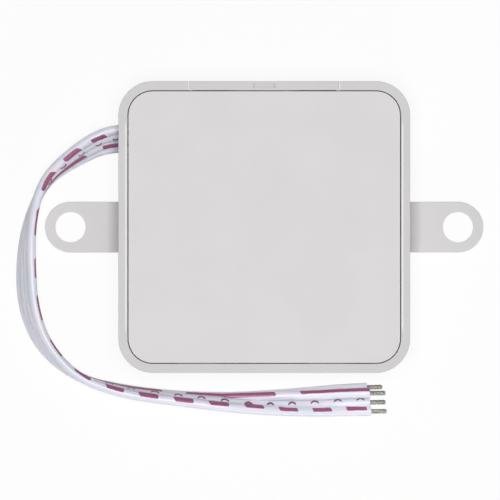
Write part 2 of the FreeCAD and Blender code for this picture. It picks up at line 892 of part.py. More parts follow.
def make_status_lamp():
    """Return the lamp's white body with its round well."""
    body = block_at(lamp_place, lamp_size, board_top)
    x, y = lamp_place
    top = board_top + lamp_size[2]
    return body.cut(rod(x, y, top - lens_depth, top + past, lens_diameter + 2 * lens_clearance))


def make_lamp_lens():
    """Return the clear filling of the lamp's well."""
    x, y = lamp_place
    top = board_top + lamp_size[2]
    return rod(x, y, top - lens_depth, top - lens_clearance, lens_diameter)


def exit_route():
    """Return the two points that take the lead straight out of the port."""
    low = exit_height - max_place * core_pitch * math.sin(math.radians(exit_tilt))
    return [(x, exit_rise, low, exit_tilt, exit_tilt, exit_tilt, 0.0)
            for x in (seam_x, seam_x - exit_run)]


def lead_section(row, heading):
    """Return the centres of cores d, c, b and a where the lead passes one row of its route."""
    x, y, low, tilt_dc, tilt_cb, tilt_ba, parting = row
    right = heading.cross(Vector(0, 0, 1))
    steps = ((tilt_dc, core_pitch), (tilt_cb, core_pitch + parting), (tilt_ba, core_pitch))
    centres = [Vector(0, 0, 0)]
    for tilt, length in steps:
        angle = math.radians(tilt)
        lean = right * math.cos(angle) + Vector(0, 0, math.sin(angle))
        centres.append(centres[-1] + lean * length)
    _, c, b, _ = centres
    lowest = min(centre.z for centre in centres)
    move = Vector(x, y, low) - Vector((b.x + c.x) / 2, (b.y + c.y) / 2, lowest)
    return [centre + move for centre in centres]


def core_route(name):
    """Return one core's points, worked out from the lead's route and the core's place."""
    place, trim = cores[name]
    points = []
    route = exit_route() + lead_route
    last = len(route) - 1
    for index, row in enumerate(route):
        before = route[max(index - 1, 0)]
        after = route[min(index + 1, last)]
        heading = Vector(after[0] - before[0], after[1] - before[1], 0).normalize()
        if index < 2:
            heading = Vector(-1, 0, 0)
        point = lead_section(row, heading)[int(place + max_place)]
        if index == last:
            point = point + heading * trim
        points.append(point)
    return points


def make_core(name):
    """Return the free stretch of one core, from the middle of the port to its cut end."""
    points = core_route(name)
    shape, length, bends = tube(points, core_diameter)
    section = math.pi * core_diameter ** 2 / 4
    print(f"core {name}: length {length:.1f}, volume over section times length "
          f"{shape.Volume / (section * length):.4f}, bends "
          + " ".join(f"{bend:.1f}" for bend in bends))
    return shape


def make_tip(name):
    """Return the stripped and tinned end of one core."""
    points = core_route(name)
    along = (points[-1] - points[-2]).normalize()
    tip = Part.makeCylinder(tip_diameter / 2, tip_length, points[-1], along)
    return tip


case = make_case()
pieces = {
    "rear_housing": make_rear_housing(case),
    "latch_tongue": make_latch_tongue(case),
    "front_cover": make_front_cover(),
    "circuit_board": make_circuit_board(),
    "board_screws": make_board_screws(),
    "clamp_bar": make_clamp_bar(),
    "clamp_screws": make_clamp_screws(),
    "header_housing": make_header_housing(),
    "header_pins": make_header_pins(),
    "plug_housing": make_plug_housing(),
    "plug_terminals": make_plug_terminals(),
    "inner_leads": make_inner_leads(),
    "radio_board": make_radio_board(),
    "radio_shield": make_radio_shield(),
    "radio_chip": make_radio_chip(),
    "radio_crystal": make_radio_crystal(),
    "radio_aerial": make_radio_aerial(),
    "capacitor_base": make_capacitor_base(),
    "capacitor_can": make_capacitor_can(),
    "power_inductor": make_power_inductor(),
    "input_fuse": make_input_fuse(),
    "diodes": make_diodes(),
    "diode_legs": make_diode_legs(),
    "converter_chip": make_chip(converter_place, converter_size),
    "converter_legs": make_chip_legs(converter_place, converter_size),
    "driver_chip": make_chip(driver_place, driver_size),
    "driver_legs": make_chip_legs(driver_place, driver_size),
    "chip_capacitors": group(chip_bodies(capacitor_places(), chip_capacitor_height)),
    "chip_resistors": group(chip_bodies(resistor_places(), chip_resistor_height)),
    "chip_terminals": make_chip_terminals(),
    "switch_base": make_switch_base(),
    "switch_plate": make_switch_plate(),
    "pairing_button": make_pairing_button(),
    "status_lamp": make_status_lamp(),
    "lamp_lens": make_lamp_lens(),
}
for name in cores:
    pieces[f"lead_core_{name}"] = make_core(name)
    pieces[f"core_tip_{name}"] = make_tip(name)

os.makedirs("parts", exist_ok=True)
for name, shape in pieces.items():
    if not shape.isValid():
        print("not valid:", name)
    shape.exportStep(f"parts/{name}.step")
print(len(pieces), "parts,", sum(len(shape.Solids) for shape in pieces.values()), "solids")
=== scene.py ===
"""Radio control module of a motor, with its flat four-core lead, dressed piece by piece.

Metres, in the frame of the construction: X along the two fixing ears, Y up the front cover,
Z out of it. The sections follow the module as it is put together.
"""

import math

import bmesh
import bpy
import numpy as np
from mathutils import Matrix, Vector


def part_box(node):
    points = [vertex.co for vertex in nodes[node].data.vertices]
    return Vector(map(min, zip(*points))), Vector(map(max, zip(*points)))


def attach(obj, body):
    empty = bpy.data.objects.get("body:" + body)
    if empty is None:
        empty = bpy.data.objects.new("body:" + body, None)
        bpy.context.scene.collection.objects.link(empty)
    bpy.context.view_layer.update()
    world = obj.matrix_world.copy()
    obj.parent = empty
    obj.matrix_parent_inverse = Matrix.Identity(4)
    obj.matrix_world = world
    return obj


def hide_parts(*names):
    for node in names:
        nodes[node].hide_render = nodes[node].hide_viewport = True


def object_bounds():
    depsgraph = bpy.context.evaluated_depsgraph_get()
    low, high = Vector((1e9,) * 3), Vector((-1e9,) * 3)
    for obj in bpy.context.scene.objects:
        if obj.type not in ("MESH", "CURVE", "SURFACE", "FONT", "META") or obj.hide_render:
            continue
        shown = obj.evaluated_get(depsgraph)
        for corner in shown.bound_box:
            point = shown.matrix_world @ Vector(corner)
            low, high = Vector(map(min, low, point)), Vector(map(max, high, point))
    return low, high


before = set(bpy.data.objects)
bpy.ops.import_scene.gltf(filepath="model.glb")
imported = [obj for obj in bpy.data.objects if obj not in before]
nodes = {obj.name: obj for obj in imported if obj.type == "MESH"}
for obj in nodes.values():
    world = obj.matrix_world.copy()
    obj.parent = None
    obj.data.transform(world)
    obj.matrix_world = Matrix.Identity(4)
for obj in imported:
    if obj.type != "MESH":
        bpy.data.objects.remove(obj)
cad_low, cad_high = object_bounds()
mm = 0.001


# The table, the lamps and the camera. The module lies on its back on a plain white table,
# under one wide soft lamp and a pale ceiling. Small soft lamps stand low at its front, right
# and left. The camera hangs over three metres up and looks straight down through a long lens.
class Tone:
    """One output of a material's nodes. Sums and products of tones add Math nodes."""

    def __init__(self, tree, socket=None):
        self.tree = tree
        self.socket = socket

    def node(self, kind, settings=None, feeds=None, output=0):
        """Add a node of a kind, set its settings, feed its sockets and return one output."""
        made = self.tree.nodes.new(kind)
        for name, value in (settings or {}).items():
            setattr(made, name, value)
        for name, value in (feeds or {}).items():
            if isinstance(value, Tone):
                self.tree.links.new(value.socket, made.inputs[name])
            else:
                made.inputs[name].default_value = value
        return Tone(self.tree, made.outputs[output])

    def math(self, operation, *others):
        """Return a Math node's result for this tone and the others."""
        return self.node("ShaderNodeMath", {"operation": operation},
                         dict(enumerate((self, *others))))

    def __add__(self, other):
        return self.math("ADD", other)

    def __sub__(self, other):
        return self.math("SUBTRACT", other)

    def __rsub__(self, other):
        return self.node("ShaderNodeMath", {"operation": "SUBTRACT"}, {0: other, 1: self})

    def __mul__(self, other):
        return self.math("MULTIPLY", other)

    def __abs__(self):
        return self.math("ABSOLUTE")

    __radd__ = __add__
    __rmul__ = __mul__

    def rise(self, low, high):
        """Return 0 below low, 1 above high and a smooth step between them."""
        return self.node("ShaderNodeMapRange", {"interpolation_type": "SMOOTHSTEP"},
                         {"Value": self, "From Min": low, "From Max": high})

    def between(self, first, second):
        """Return the first colour where this tone is 0, and the second where it is 1."""
        return self.node("ShaderNodeMix", {"data_type": "RGBA"},
                         {0: self, 6: first, 7: second}, output=2)

    def relief(self, depth):
        """Return the normal of a surface that this tone lifts by up to a depth."""
        return self.node("ShaderNodeBump", None, {"Height": self, "Distance": depth})

    def into(self, shader, socket):
        """Feed this tone to one of a shader's sockets."""
        self.tree.links.new(self.socket, shader.inputs[socket])


def colour(red, green, blue):
    """Return a shader colour from display values of 0 to 255.

    The light is the display value to the power 2.4, with a straight start.
    """
    shown = np.array([red, green, blue]) / 255
    light = np.where(shown <= 0.04045, shown / 12.92, ((shown + 0.055) / 1.055) ** 2.4)
    return (*light.tolist(), 1.0)


def background_rays(tone):
    """Return 1 for rays that show the background: the camera's, mirrored and clear ones."""
    names = ("Is Camera Ray", "Is Glossy Ray", "Is Transmission Ray")
    outputs = tone.node("ShaderNodeLightPath").socket.node.outputs
    camera_ray, mirrored, clear = (Tone(tone.tree, outputs[name]) for name in names)
    return camera_ray.math("MAXIMUM", mirrored.math("MAXIMUM", clear))


# The picture's width and middle, at the height of the ears
view_width = 77.42 * mm
view_middle = (-2.2 * mm, -3.54 * mm)
ear_top = 2.0 * mm
lens_length = 1500
camera_data = bpy.data.cameras.new("camera")
camera_data.lens = lens_length
camera = bpy.data.objects.new("camera", camera_data)
camera.location = (*view_middle, ear_top + view_width * lens_length / camera_data.sensor_width)
bpy.context.scene.collection.objects.link(camera)
bpy.context.scene.camera = camera

ceiling_light = 0.1
world = bpy.data.worlds.new("pale_room")
world.use_nodes = True
bpy.context.scene.world = world
background = world.node_tree.nodes["Background"]
background.inputs["Color"].default_value = (1, 1, 1, 1)
seen = background_rays(Tone(world.node_tree))
(seen + (1 - seen) * ceiling_light).into(background, "Strength")


def soft_lamp(name, place, width, power):
    """Hang a square soft lamp at a place and turn it to the module."""
    lamp_data = bpy.data.lights.new(name, "AREA")
    lamp_data.size = width
    lamp_data.energy = power
    lamp = bpy.data.objects.new(name, lamp_data)
    lamp.location = place
    lamp.rotation_euler = Vector(place).to_track_quat("Z", "Y").to_euler()
    bpy.context.scene.collection.objects.link(lamp)


soft_lamp("overhead_lamp", (0, -0.02, 1.3), 0.34, 11.7)
soft_lamp("front_lamp", (0.1, -0.6, 0.16), 0.2, 1.1)
soft_lamp("right_lamp", (0.6, 0.1, 0.08), 0.15, 0.2)
soft_lamp("left_lamp", (-0.6, 0.3, 0.06), 0.15, 0.12)
bpy.context.scene.view_settings.view_transform = "Standard"

table_half = 3.0
table_height = -0.02 * mm
# The camera sees plain white with a share of the lit table in it, which keeps the shadow.
shadow_share = 0.12
table_mesh = bpy.data.meshes.new("table")
table_corners = [(side_x * table_half, side_y * table_half, table_height)
                 for side_x, side_y in ((-1, -1), (1, -1), (1, 1), (-1, 1))]
table_mesh.from_pydata(table_corners, [], [(0, 1, 2, 3)])
table = bpy.data.objects.new("table", table_mesh)
bpy.context.scene.collection.objects.link(table)
table_finish = bpy.data.materials.new("white_table")
table_finish.use_nodes = True
table_nodes = table_finish.node_tree.nodes
table_nodes.remove(table_nodes["Principled BSDF"])
tone = Tone(table_finish.node_tree)
table_tone = background_rays(tone).between((0.8, 0.8, 0.8, 1), (0.97, 0.97, 0.97, 1))
matt = tone.node("ShaderNodeBsdfDiffuse", None, {"Color": table_tone})
glow = tone.node("ShaderNodeEmission", None, {"Color": (1, 1, 1, 1), "Strength": 1.0})
share = background_rays(tone) * (1 - shadow_share)
shown = tone.node("ShaderNodeMixShader", None, {0: share, 1: matt, 2: glow})
shown.into(table_nodes["Material Output"], "Surface")
table_mesh.materials.append(table_finish)


# The rear housing with its two fixing ears: pale grey ABS, moulded in one shot with a fine
# eroded skin. Its springy latch tongue stands between two slits of the upper wall.
def new_finish(name, base, roughness, constants=None):
    """Return a material, a tone to start its nodes from, and its shader."""
    material = bpy.data.materials.new(name)
    material.use_nodes = True
    shader = material.node_tree.nodes["Principled BSDF"]
    shader.inputs["Base Color"].default_value = base
    shader.inputs["Roughness"].default_value = roughness
    for socket, value in (constants or {}).items():
        shader.inputs[socket].default_value = value
    return material, Tone(material.node_tree), shader


def place_of(tone):
    """Return the place on the piece in metres, as a vector tone."""
    return tone.node("ShaderNodeTexCoord", output=3)


def grain(tone, size, detail=2.0, place=None):
    """Return a noise of 0 to 1 whose lumps have a size in metres."""
    return tone.node("ShaderNodeTexNoise", None, {"Vector": place or place_of(tone),
                                                  "Scale": 1 / size, "Detail": detail})


def moulded_plastic(name, base, pale, roughness, lump, depth):
    """Return the finish of a moulded plastic with an eroded skin and a faint cloudiness."""
    material, tone, shader = new_finish(name, base, roughness)
    cloud = grain(tone, 9 * mm, 3.0)
    cloud.rise(0.3, 0.7).between(base, pale).into(shader, "Base Color")
    skin = grain(tone, lump)
    (roughness - 0.06 + skin * 0.12).into(shader, "Roughness")
    skin.relief(depth).into(shader, "Normal")
    return material


def dress(finish, *names):
    """Give CAD nodes a finish, and leave their shapes as they are."""
    for name in names:
        for slot in nodes[name].material_slots:
            slot.material = finish


def parts_of(vector):
    """Return the three coordinates of a vector tone."""
    outputs = vector.node("ShaderNodeSeparateXYZ", None, {0: vector}).socket.node.outputs
    return [Tone(vector.tree, output) for output in outputs]


def axes_of(tone):
    """Return the three coordinates of the place on the piece, in metres."""
    return parts_of(place_of(tone))


def near(tone, place, half, soft=0.02 * mm):
    """Return 1 where a tone is within half a width of a place, and 0 outside."""
    return 1 - abs(tone - place).rise(half - soft, half + soft)


# Painted highlights: pale, glossier lines along the rim's inner edges at left and right, and
# beside the slits, stand in for the light those edges catch. Painted shade darkens the outline
# and the ends of the tongue's notch.
case_finish, tone, shader = new_finish("case_abs", colour(206, 204, 205), 0.52)
x, y, z = axes_of(tone)
rim_height = cad_high[2]
edge_highlight_x, slit_x, wall_y = 21.35 * mm, 11.6 * mm, 20.9 * mm
notch_y, notch_half, notch_side = 21.83 * mm, 1.7 * mm, 0.33 * mm
on_rim = z.rise(rim_height - 0.12 * mm, rim_height - 0.07 * mm)
# Painted highlight: a pale line along the rim's inner edges and beside the slits
edge_highlight = near(abs(x), edge_highlight_x, 0.08 * mm) * (1 - abs(y).rise(15.5 * mm, 16.5 * mm))
slit_highlight = near(abs(x), slit_x, 0.1 * mm) * y.rise(wall_y, wall_y + 0.1 * mm)
painted_highlight = on_rim * edge_highlight.math("MAXIMUM", slit_highlight)
# Painted shade: darker along the outline of the tongue's notch and in its ends, where its relief
# is shaded
past_end = abs(x) - notch_half
past_side = abs(y - notch_y) - notch_side
on_outline = near(past_end.math("MAXIMUM", past_side), 0.0, 0.05 * mm)
at_end = near(past_end, -0.1 * mm, 0.13 * mm) * (1 - past_side.rise(0, 0.03 * mm))
near_top = z.rise(rim_height - 0.7 * mm, rim_height - 0.6 * mm)
notch_painted_shade = (on_outline * 0.25).math("MAXIMUM", at_end) * near_top
cloud = grain(tone, 9 * mm, 3.0).rise(0.3, 0.7)
skin = grain(tone, 0.12 * mm)
plain = cloud.between(colour(203, 201, 202), colour(206, 204, 205))
# The plain skin, paler along the painted highlight
highlighted = painted_highlight.between(plain, colour(212, 210, 211))
# Painted shade in the notch, over the skin with its painted highlight
notch_painted_shade.between(highlighted, colour(190, 188, 189)).into(shader, "Base Color")
(0.46 + skin * 0.12 - painted_highlight * 0.16).into(shader, "Roughness")
skin.relief(0.002 * mm).into(shader, "Normal")
dress(case_finish, "rear_housing", "latch_tongue")


# The circuit board: a sheet of glass laminate with copper tracks under a green solder mask,
# white outlines printed round the parts, and shiny solder where their feet stand. It lies on
# four posts of the case.
def ringed_piece(name, stacks, finish, chart=None):
    """Make a piece of one or more closed bodies, each a stack of rings of points.

    Quads join each ring to the next, and a flat face closes each end. For a piece of one
    body the chart gives each ring's place along and each column's place around, for the
    piece's own UV map.
    """
    faces = []
    first = 0
    for rings in stacks:
        count, around = rings.shape[:2]
        index = first + np.arange(count * around).reshape(count, around)
        ahead = np.roll(index, -1, axis=1)
        quads = np.stack([index[:-1], index[1:], ahead[1:], ahead[:-1]], axis=-1)
        faces += [*quads.reshape(-1, 4).tolist(), index[0].tolist(), index[-1][::-1].tolist()]
        first += count * around
    mesh = bpy.data.meshes.new(name)
    mesh.from_pydata(np.concatenate([rings.reshape(-1, 3) for rings in stacks]), [], faces)
    if chart:
        along, across = chart
        u = np.stack([along[:-1], along[1:], along[1:], along[:-1]], axis=-1)[:, None, :]
        v = np.stack([across[:-1], across[:-1], across[1:], across[1:]], axis=-1)[None, :, :]
        u, v = np.broadcast_arrays(u, v)
        spots = np.stack([u, v], axis=-1).reshape(-1, 2)
        ends = np.repeat([[along[0], across[0]], [along[-1], across[0]]], len(across) - 1, axis=0)
        mesh.uv_layers.new(name="chart")
        mesh.uv_layers["chart"].data.foreach_set("uv", np.vstack([spots, ends]).ravel())
    whole = bmesh.new()
    whole.from_mesh(mesh)
    bmesh.ops.recalc_face_normals(whole, faces=whole.faces)
    whole.to_mesh(mesh)
    whole.free()
    mesh.shade_smooth()
    mesh.set_sharp_from_angle(angle=math.radians(40))
    mesh.materials.append(finish)
    piece = bpy.data.objects.new(name, mesh)
    bpy.context.scene.collection.objects.link(piece)
    return piece


def unit(vectors):
    """Return vectors of length 1 in the same directions."""
    return vectors / np.linalg.norm(vectors, axis=-1, keepdims=True)


def solid_boxes(name):
    """Return the lowest and highest corners of each separate solid of a CAD node.

    Corners at one place count as one. Each takes the lowest number that an edge brings it,
    again and again, until the corners of a solid all share one number.
    """
    mesh = nodes[name].data
    corners = np.empty(len(mesh.vertices) * 3)
    mesh.vertices.foreach_get("co", corners)
    corners = corners.reshape(-1, 3)
    ends = np.empty(len(mesh.edges) * 2, dtype=int)
    mesh.edges.foreach_get("vertices", ends)
    _, spot = np.unique(np.round(corners / (0.001 * mm)), axis=0, return_inverse=True)
    spot = spot.ravel()
    one, other = spot[ends.reshape(-1, 2)].T
    number = np.arange(spot.max() + 1)
    settled = False
    while not settled:
        lower = number.copy()
        np.minimum.at(lower, one, number[other])
        np.minimum.at(lower, other, number[one])
        lower = lower[lower]
        settled = bool((lower == number).all())
        number = lower
    owner = number[spot]
    return np.array([[corners[owner == solid].min(axis=0), corners[owner == solid].max(axis=0)]
                     for solid in np.unique(owner)])


def rounded_ring(half_x, half_y, corner, points):
    """Return the outline of a level rectangle with round corners, about its middle.

    Each corner is a quarter circle of a radius, from its own angle to the next corner's.
    """
    quarter = np.linspace(0, np.pi / 2, points)
    angle = (np.arange(4)[:, None] * np.pi / 2 + quarter[None, :]).ravel()
    sign = np.repeat([(1, 1), (-1, 1), (-1, -1), (1, -1)], points, axis=0)
    corner = min(corner, half_x, half_y)
    middle = sign * np.array([half_x - corner, half_y - corner])
    return middle + corner * np.stack([np.cos(angle), np.sin(angle)], axis=1)


def strip(spots, width, low, high):
    """Return the rings of a flat strip along spots of the board, with mitred bends.

    At a bend the strip's edge lies on the line that halves the angle, pushed out by one over
    the cosine of half the turn.
    """
    spots = np.array(spots) * mm
    run = unit(np.diff(spots, axis=0))
    before = np.vstack([run[:1], run])
    after = np.vstack([run, run[-1:]])
    along = unit(before + after)
    reach = width / 2 / (along * before).sum(axis=1, keepdims=True)
    side = np.stack([-along[:, 1], along[:, 0]], axis=1) * reach
    left, right = spots + side, spots - side
    level = [np.full((len(spots), 1), z) for z in (low, high)]
    return np.stack([np.hstack([left, level[0]]), np.hstack([left, level[1]]),
                     np.hstack([right, level[1]]), np.hstack([right, level[0]])], axis=1)


def disc(spot, outer, inner, low, high, points=20):
    """Return the rings of a round pad with a blind hole, from its rim to the hole's floor."""
    angle = np.linspace(0, 2 * np.pi, points, endpoint=False)
    ring = np.stack([np.cos(angle), np.sin(angle)], axis=1)
    profile = ((outer, low), (outer, high), (inner, high), (inner, low))
    return np.stack([np.column_stack([np.array(spot) * mm + ring * radius,
                                      np.full(points, z)]) for radius, z in profile])


def fillet(box, reach, rise):
    """Return the rings of a concave solder fillet round the foot in a box.

    From the pad inwards the rings shrink by a sine and climb by one less a cosine.
    """
    low, high = box
    middle = (low + high)[:2] / 2
    half_x, half_y = (high - low)[:2] / 2
    rings = []
    for turn in np.linspace(0, np.pi / 2, 6):
        grown = reach * (1 - math.sin(turn))
        level = low[2] + rise * (1 - math.cos(turn))
        ring = middle + rounded_ring(half_x + grown, half_y + grown, grown + 0.05 * mm, 5)
        rings.append(np.column_stack([ring, np.full(len(ring), level)]))
    return np.stack(rings)


board_low, board_high = np.array(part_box("circuit_board"))
board_bottom, board_top = board_low[2], board_high[2]
# How far the weave's waves turn in a metre, in radians: they repeat about every millimetre
weave_turn = 6200
mask_green = colour(24, 92, 58)
mask_finish, tone, shader = new_finish("solder_mask", mask_green, 0.3, {"Coat Weight": 0.3})
x, y, z = axes_of(tone)
weave = (x * weave_turn).math("SINE") * (y * weave_turn).math("SINE") * 0.5 + 0.5
cloudy = grain(tone, 7 * mm).rise(0.3, 0.7).between(mask_green, colour(18, 80, 52))
on_back = 1 - (z - board_bottom).rise(0.04 * mm, 0.05 * mm)
on_front = (z - board_top).rise(-0.05 * mm, -0.04 * mm)
(on_back + on_front).between(colour(168, 160, 104), cloudy).into(shader, "Base Color")
weave.relief(0.004 * mm).into(shader, "Normal")
dress(mask_finish, "circuit_board")


def mottled(name, tones, roughness, lump, depth, constants=None, detail=2.0):
    """Return a finish that goes from the first of two tones to the second in raised lumps."""
    material, tone, shader = new_finish(name, tones[0], roughness, constants)
    mottle = grain(tone, lump, detail)
    mottle.between(*tones).into(shader, "Base Color")
    mottle.relief(depth).into(shader, "Normal")
    return material


track_finish = mottled("masked_copper", (colour(46, 120, 70), colour(62, 138, 84)), 0.28,
                       0.6 * mm, 0.004 * mm, {"Coat Weight": 0.3})

driver_feet = solid_boxes("driver_legs")
driver_x = np.unique(np.round(driver_feet.mean(axis=1)[:, 0] / mm, 2))
driver_y = (driver_feet[:, 0, 1].min() / mm, driver_feet[:, 1, 1].max() / mm)
radio_low, radio_high = np.array(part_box("radio_board"))
side_contact_count = 9
side_contact_pitch = 1.5 * mm
side_contact_y = ((radio_low + radio_high)[1] / 2 + side_contact_pitch
                  * (np.arange(side_contact_count) - (side_contact_count - 1) / 2))
radio_side = radio_low[0] / mm
pin_boxes = solid_boxes("header_pins")
pin_y = np.sort(pin_boxes.mean(axis=1)[:, 1] / mm)
pin_x = pin_boxes[0, 1, 0] / mm - 0.25
# The tracks' corners and the vias are places on the board in mm. From the driver's upper legs,
# four tracks go to the radio's side contacts and four to the header's pins.
bus_pitch, bend = 0.5, 0.4
signal_routes = []
via_spots = []
for index, leg_x in enumerate(driver_x[4:]):
    row = -3.1 - index * bus_pitch
    lane = radio_side - 2.75 + index * bus_pitch
    contact = side_contact_y[index] / mm
    signal_routes.append([(leg_x, driver_y[1]), (leg_x, row - bend), (leg_x - bend, row),
                          (lane + bend, row), (lane, row + bend), (lane, contact - bend),
                          (lane + bend, contact), (radio_side + 0.2, contact)])
for index, leg_x in enumerate(driver_x[:4]):
    lane = -0.1 + index * bus_pitch
    pin = pin_y[index]
    rise = driver_y[1] + 0.5
    signal_routes.append([(leg_x, driver_y[1]), (leg_x, rise), (lane, rise + abs(lane - leg_x)),
                          (lane, 7.6 + index * 0.3), (lane, pin - 0.5 - abs(lane - pin_x) / 2),
                          (pin_x, pin)])
# Three go down from its lower legs, four cross under it, and three follow the board's edge.
for index, leg_x in enumerate(driver_x[1:7:2]):
    column = -1.1 + index * 2.6
    row, end = -11.6, -17.0 - index * 0.4
    signal_routes.append([(leg_x, driver_y[0]), (leg_x, row),
                          (column, row - abs(column - leg_x)), (column, end)])
    via_spots.append((column, end))
for index in range(4):
    begin, column = 6.0 + index * 0.3, 9.6 + index * 0.6
    row, end = -13.9 - index * bus_pitch, -5.0 - index * bus_pitch
    signal_routes.append([(begin, row), (8.0 + index * 0.2, row),
                          (column, row + 1.6 + index * 0.4), (column, end)])
    via_spots += [(begin, row), (column, end)]
for index in range(3):
    column, inner_column = -19.6 + index * 0.6, -17.2 + index * 0.6
    begin, row = -2.6 + index * bus_pitch, -19.7 + index * bus_pitch
    signal_routes.append([(column, begin), (column, -12.0), (inner_column, -14.4),
                          (inner_column, row + 0.8), (inner_column + 0.8, row),
                          (4.0 + index, row)])
    via_spots += [(column, begin), (4.0 + index, row)]
via_spots += [(-19.3, 2.0 - index * 1.5) for index in range(3)]
# Wide tracks between the power parts, each with its width
power_routes = [
    ([(-14.0, -11.2), (-14.0, -12.9), (-13.2, -13.7)], 1.8),
    ([(-12.6, -7.6), (-10.9, -7.6), (-10.0, -8.5)], 1.6),
    ([(-9.2, -9.2), (-9.2, -10.6)], 1.8),
    ([(-5.4, 0.2), (-4.4, 1.2), (-4.4, 2.4)], 1.6),
    ([(-5.4, 4.0), (-4.6, 3.2)], 1.4),
    ([(-11.6, 0.2), (-12.9, 0.2), (-14.2, -1.1), (-14.2, -4.4)], 1.8),
    ([(-11.6, 4.0), (-12.9, 4.0), (-13.9, 3.0), (-13.9, 0.0)], 1.6),
    ([(-0.6, 2.4), (-0.6, 5.2), (-2.6, 7.2), (-2.6, 8.6)], 1.2),
    ([(-6.8, -14.4), (-5.2, -14.4), (-4.5, -13.7)], 1.4),
]
mask_lift = 0.03 * mm
track_width = 0.26 * mm
tracks = [strip(route, track_width, board_top - mask_lift, board_top + mask_lift)
          for route in signal_routes]
tracks += [strip(route, width * mm, board_top - mask_lift, board_top + 0.8 * mask_lift)
           for route, width in power_routes]
board_tracks = ringed_piece("board_tracks", tracks, track_finish)

bright_tin, tone, shader = new_finish("bright_tin", colour(206, 206, 204), 0.2, {"Metallic": 1.0})
smear = grain(tone, 0.4 * mm)
smear.between(colour(190, 190, 186), colour(220, 220, 220)).into(shader, "Base Color")
(0.14 + smear * 0.2).into(shader, "Roughness")
smear.relief(0.01 * mm).into(shader, "Normal")
vias = [disc(spot, 0.34 * mm, 0.17 * mm, board_top - 0.1 * mm, board_top + 1.3 * mask_lift)
        for spot in via_spots]
board_vias = ringed_piece("board_vias", vias, bright_tin)

# A foot's solder stands on its pad, which is wider than the foot. A chip's leg has it at the
# toe, which points away from the chip.
small_feet = [fillet(box, 0.22 * mm, 0.3 * mm) for box in solid_boxes("chip_terminals")]
toe = 0.65 * mm
leg_feet = []
for part in ("converter", "driver"):
    body_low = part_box(f"{part}_chip")[0]
    for low, high in solid_boxes(f"{part}_legs"):
        if low[1] < body_low[1]:
            high[1] = low[1] + toe
        else:
            low[1] = high[1] - toe
        leg_feet.append(fillet((low, high), 0.13 * mm, 0.2 * mm))
tab_feet = [fillet(box, 0.3 * mm, 0.35 * mm) for box in solid_boxes("diode_legs")]
big_feet = []
for name, share, reach in (("input_fuse", 0.16, 0.35), ("status_lamp", 0.2, 0.3),
                           ("power_inductor", 0.22, 0.3)):
    low, high = np.array(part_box(name))
    inset = (high - low) * (0, 0.12, 0)
    rest = (high - low) * (1 - share, 0, 0)
    for foot in ((low + inset, high - inset - rest), (low + inset + rest, high - inset)):
        big_feet.append(fillet(foot, reach * mm, 0.3 * mm))
pin_feet = []
for low, high in pin_boxes:
    foot = np.array([[high[0] - 0.5 * mm, low[1], board_top], [high[0], high[1], board_top]])
    pin_feet.append(fillet(foot, 0.42 * mm, 0.35 * mm))
    foot[:, 2] = board_bottom
    under = fillet(foot, 0.5 * mm, 0.8 * mm)
    under[:, :, 2] = 2 * board_bottom - under[:, :, 2]
    pin_feet.append(under)
solder_joints = ringed_piece("solder_joints", small_feet + leg_feet + tab_feet + big_feet
                             + pin_feet, bright_tin)

ink_finish, tone, shader = new_finish("legend_ink", colour(226, 228, 220), 0.6)
patchy = grain(tone, 0.2 * mm).rise(0.2, 0.6)
patchy.between(colour(196, 206, 192), colour(230, 232, 226)).into(shader, "Base Color")
ink_width = 0.15 * mm
ink_low, ink_high = board_top - mask_lift, board_top + 1.6 * mask_lift


def outline(box, margin):
    """Return the rings of a printed frame round a box: inner and outer edge, low and high.

    The frame stands off the box by a margin in X and one in Y, in mm.
    """
    low, high = np.array(box)
    middle = (low + high)[:2] / 2
    half_x, half_y = (high - low)[:2] / 2 + np.array(margin) * mm
    edges = [middle + rounded_ring(half_x + grow, half_y + grow, 0.3 * mm + grow, 3)
             for grow in (0, ink_width)]
    profile = ((0, ink_low), (0, ink_high), (1, ink_high), (1, ink_low), (0, ink_low))
    return np.stack([np.column_stack([edges[edge], np.full(len(edges[edge]), z)])
                     for edge, z in profile])


printed_frames = [outline(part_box(name), (0.4, -0.2))
                  for name in ("driver_chip", "converter_chip")]
printed_frames += [outline(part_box(name), (0.25, 0.25)) for name in (
    "capacitor_base", "power_inductor", "switch_base", "radio_board", "header_housing")]
printed_frames += [outline(box, (0.76, 0.26)) for box in (*solid_boxes("chip_capacitors"),
                                                          *solid_boxes("chip_resistors"))]
for low, high in solid_boxes("diodes"):
    middle, left = (low + high)[1] / 2 / mm, low[0] / mm - 1.1
    bar = [(left, middle - 1.3), (left, middle + 1.3)]
    printed_frames.append(strip(bar, 0.3 * mm, ink_low, ink_high))
board_legend = ringed_piece("board_legend", printed_frames, ink_finish)
for piece, slot in ((board_tracks, "board_laminate"), (board_vias, "tinned_metal"),
                    (solder_joints, "tinned_metal"), (board_legend, "board_laminate")):
    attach(piece, "case")


# The flat lead. Four cores of bonded white vinyl, 1.4 mm apart, leave the port with their
# marked side up and turn round the case. Each core is drawn on its own, with the web that
# bonds it to its neighbours, and carries its own printed mark. The ends are stripped and tinned.
core_pitch = 1.4 * mm
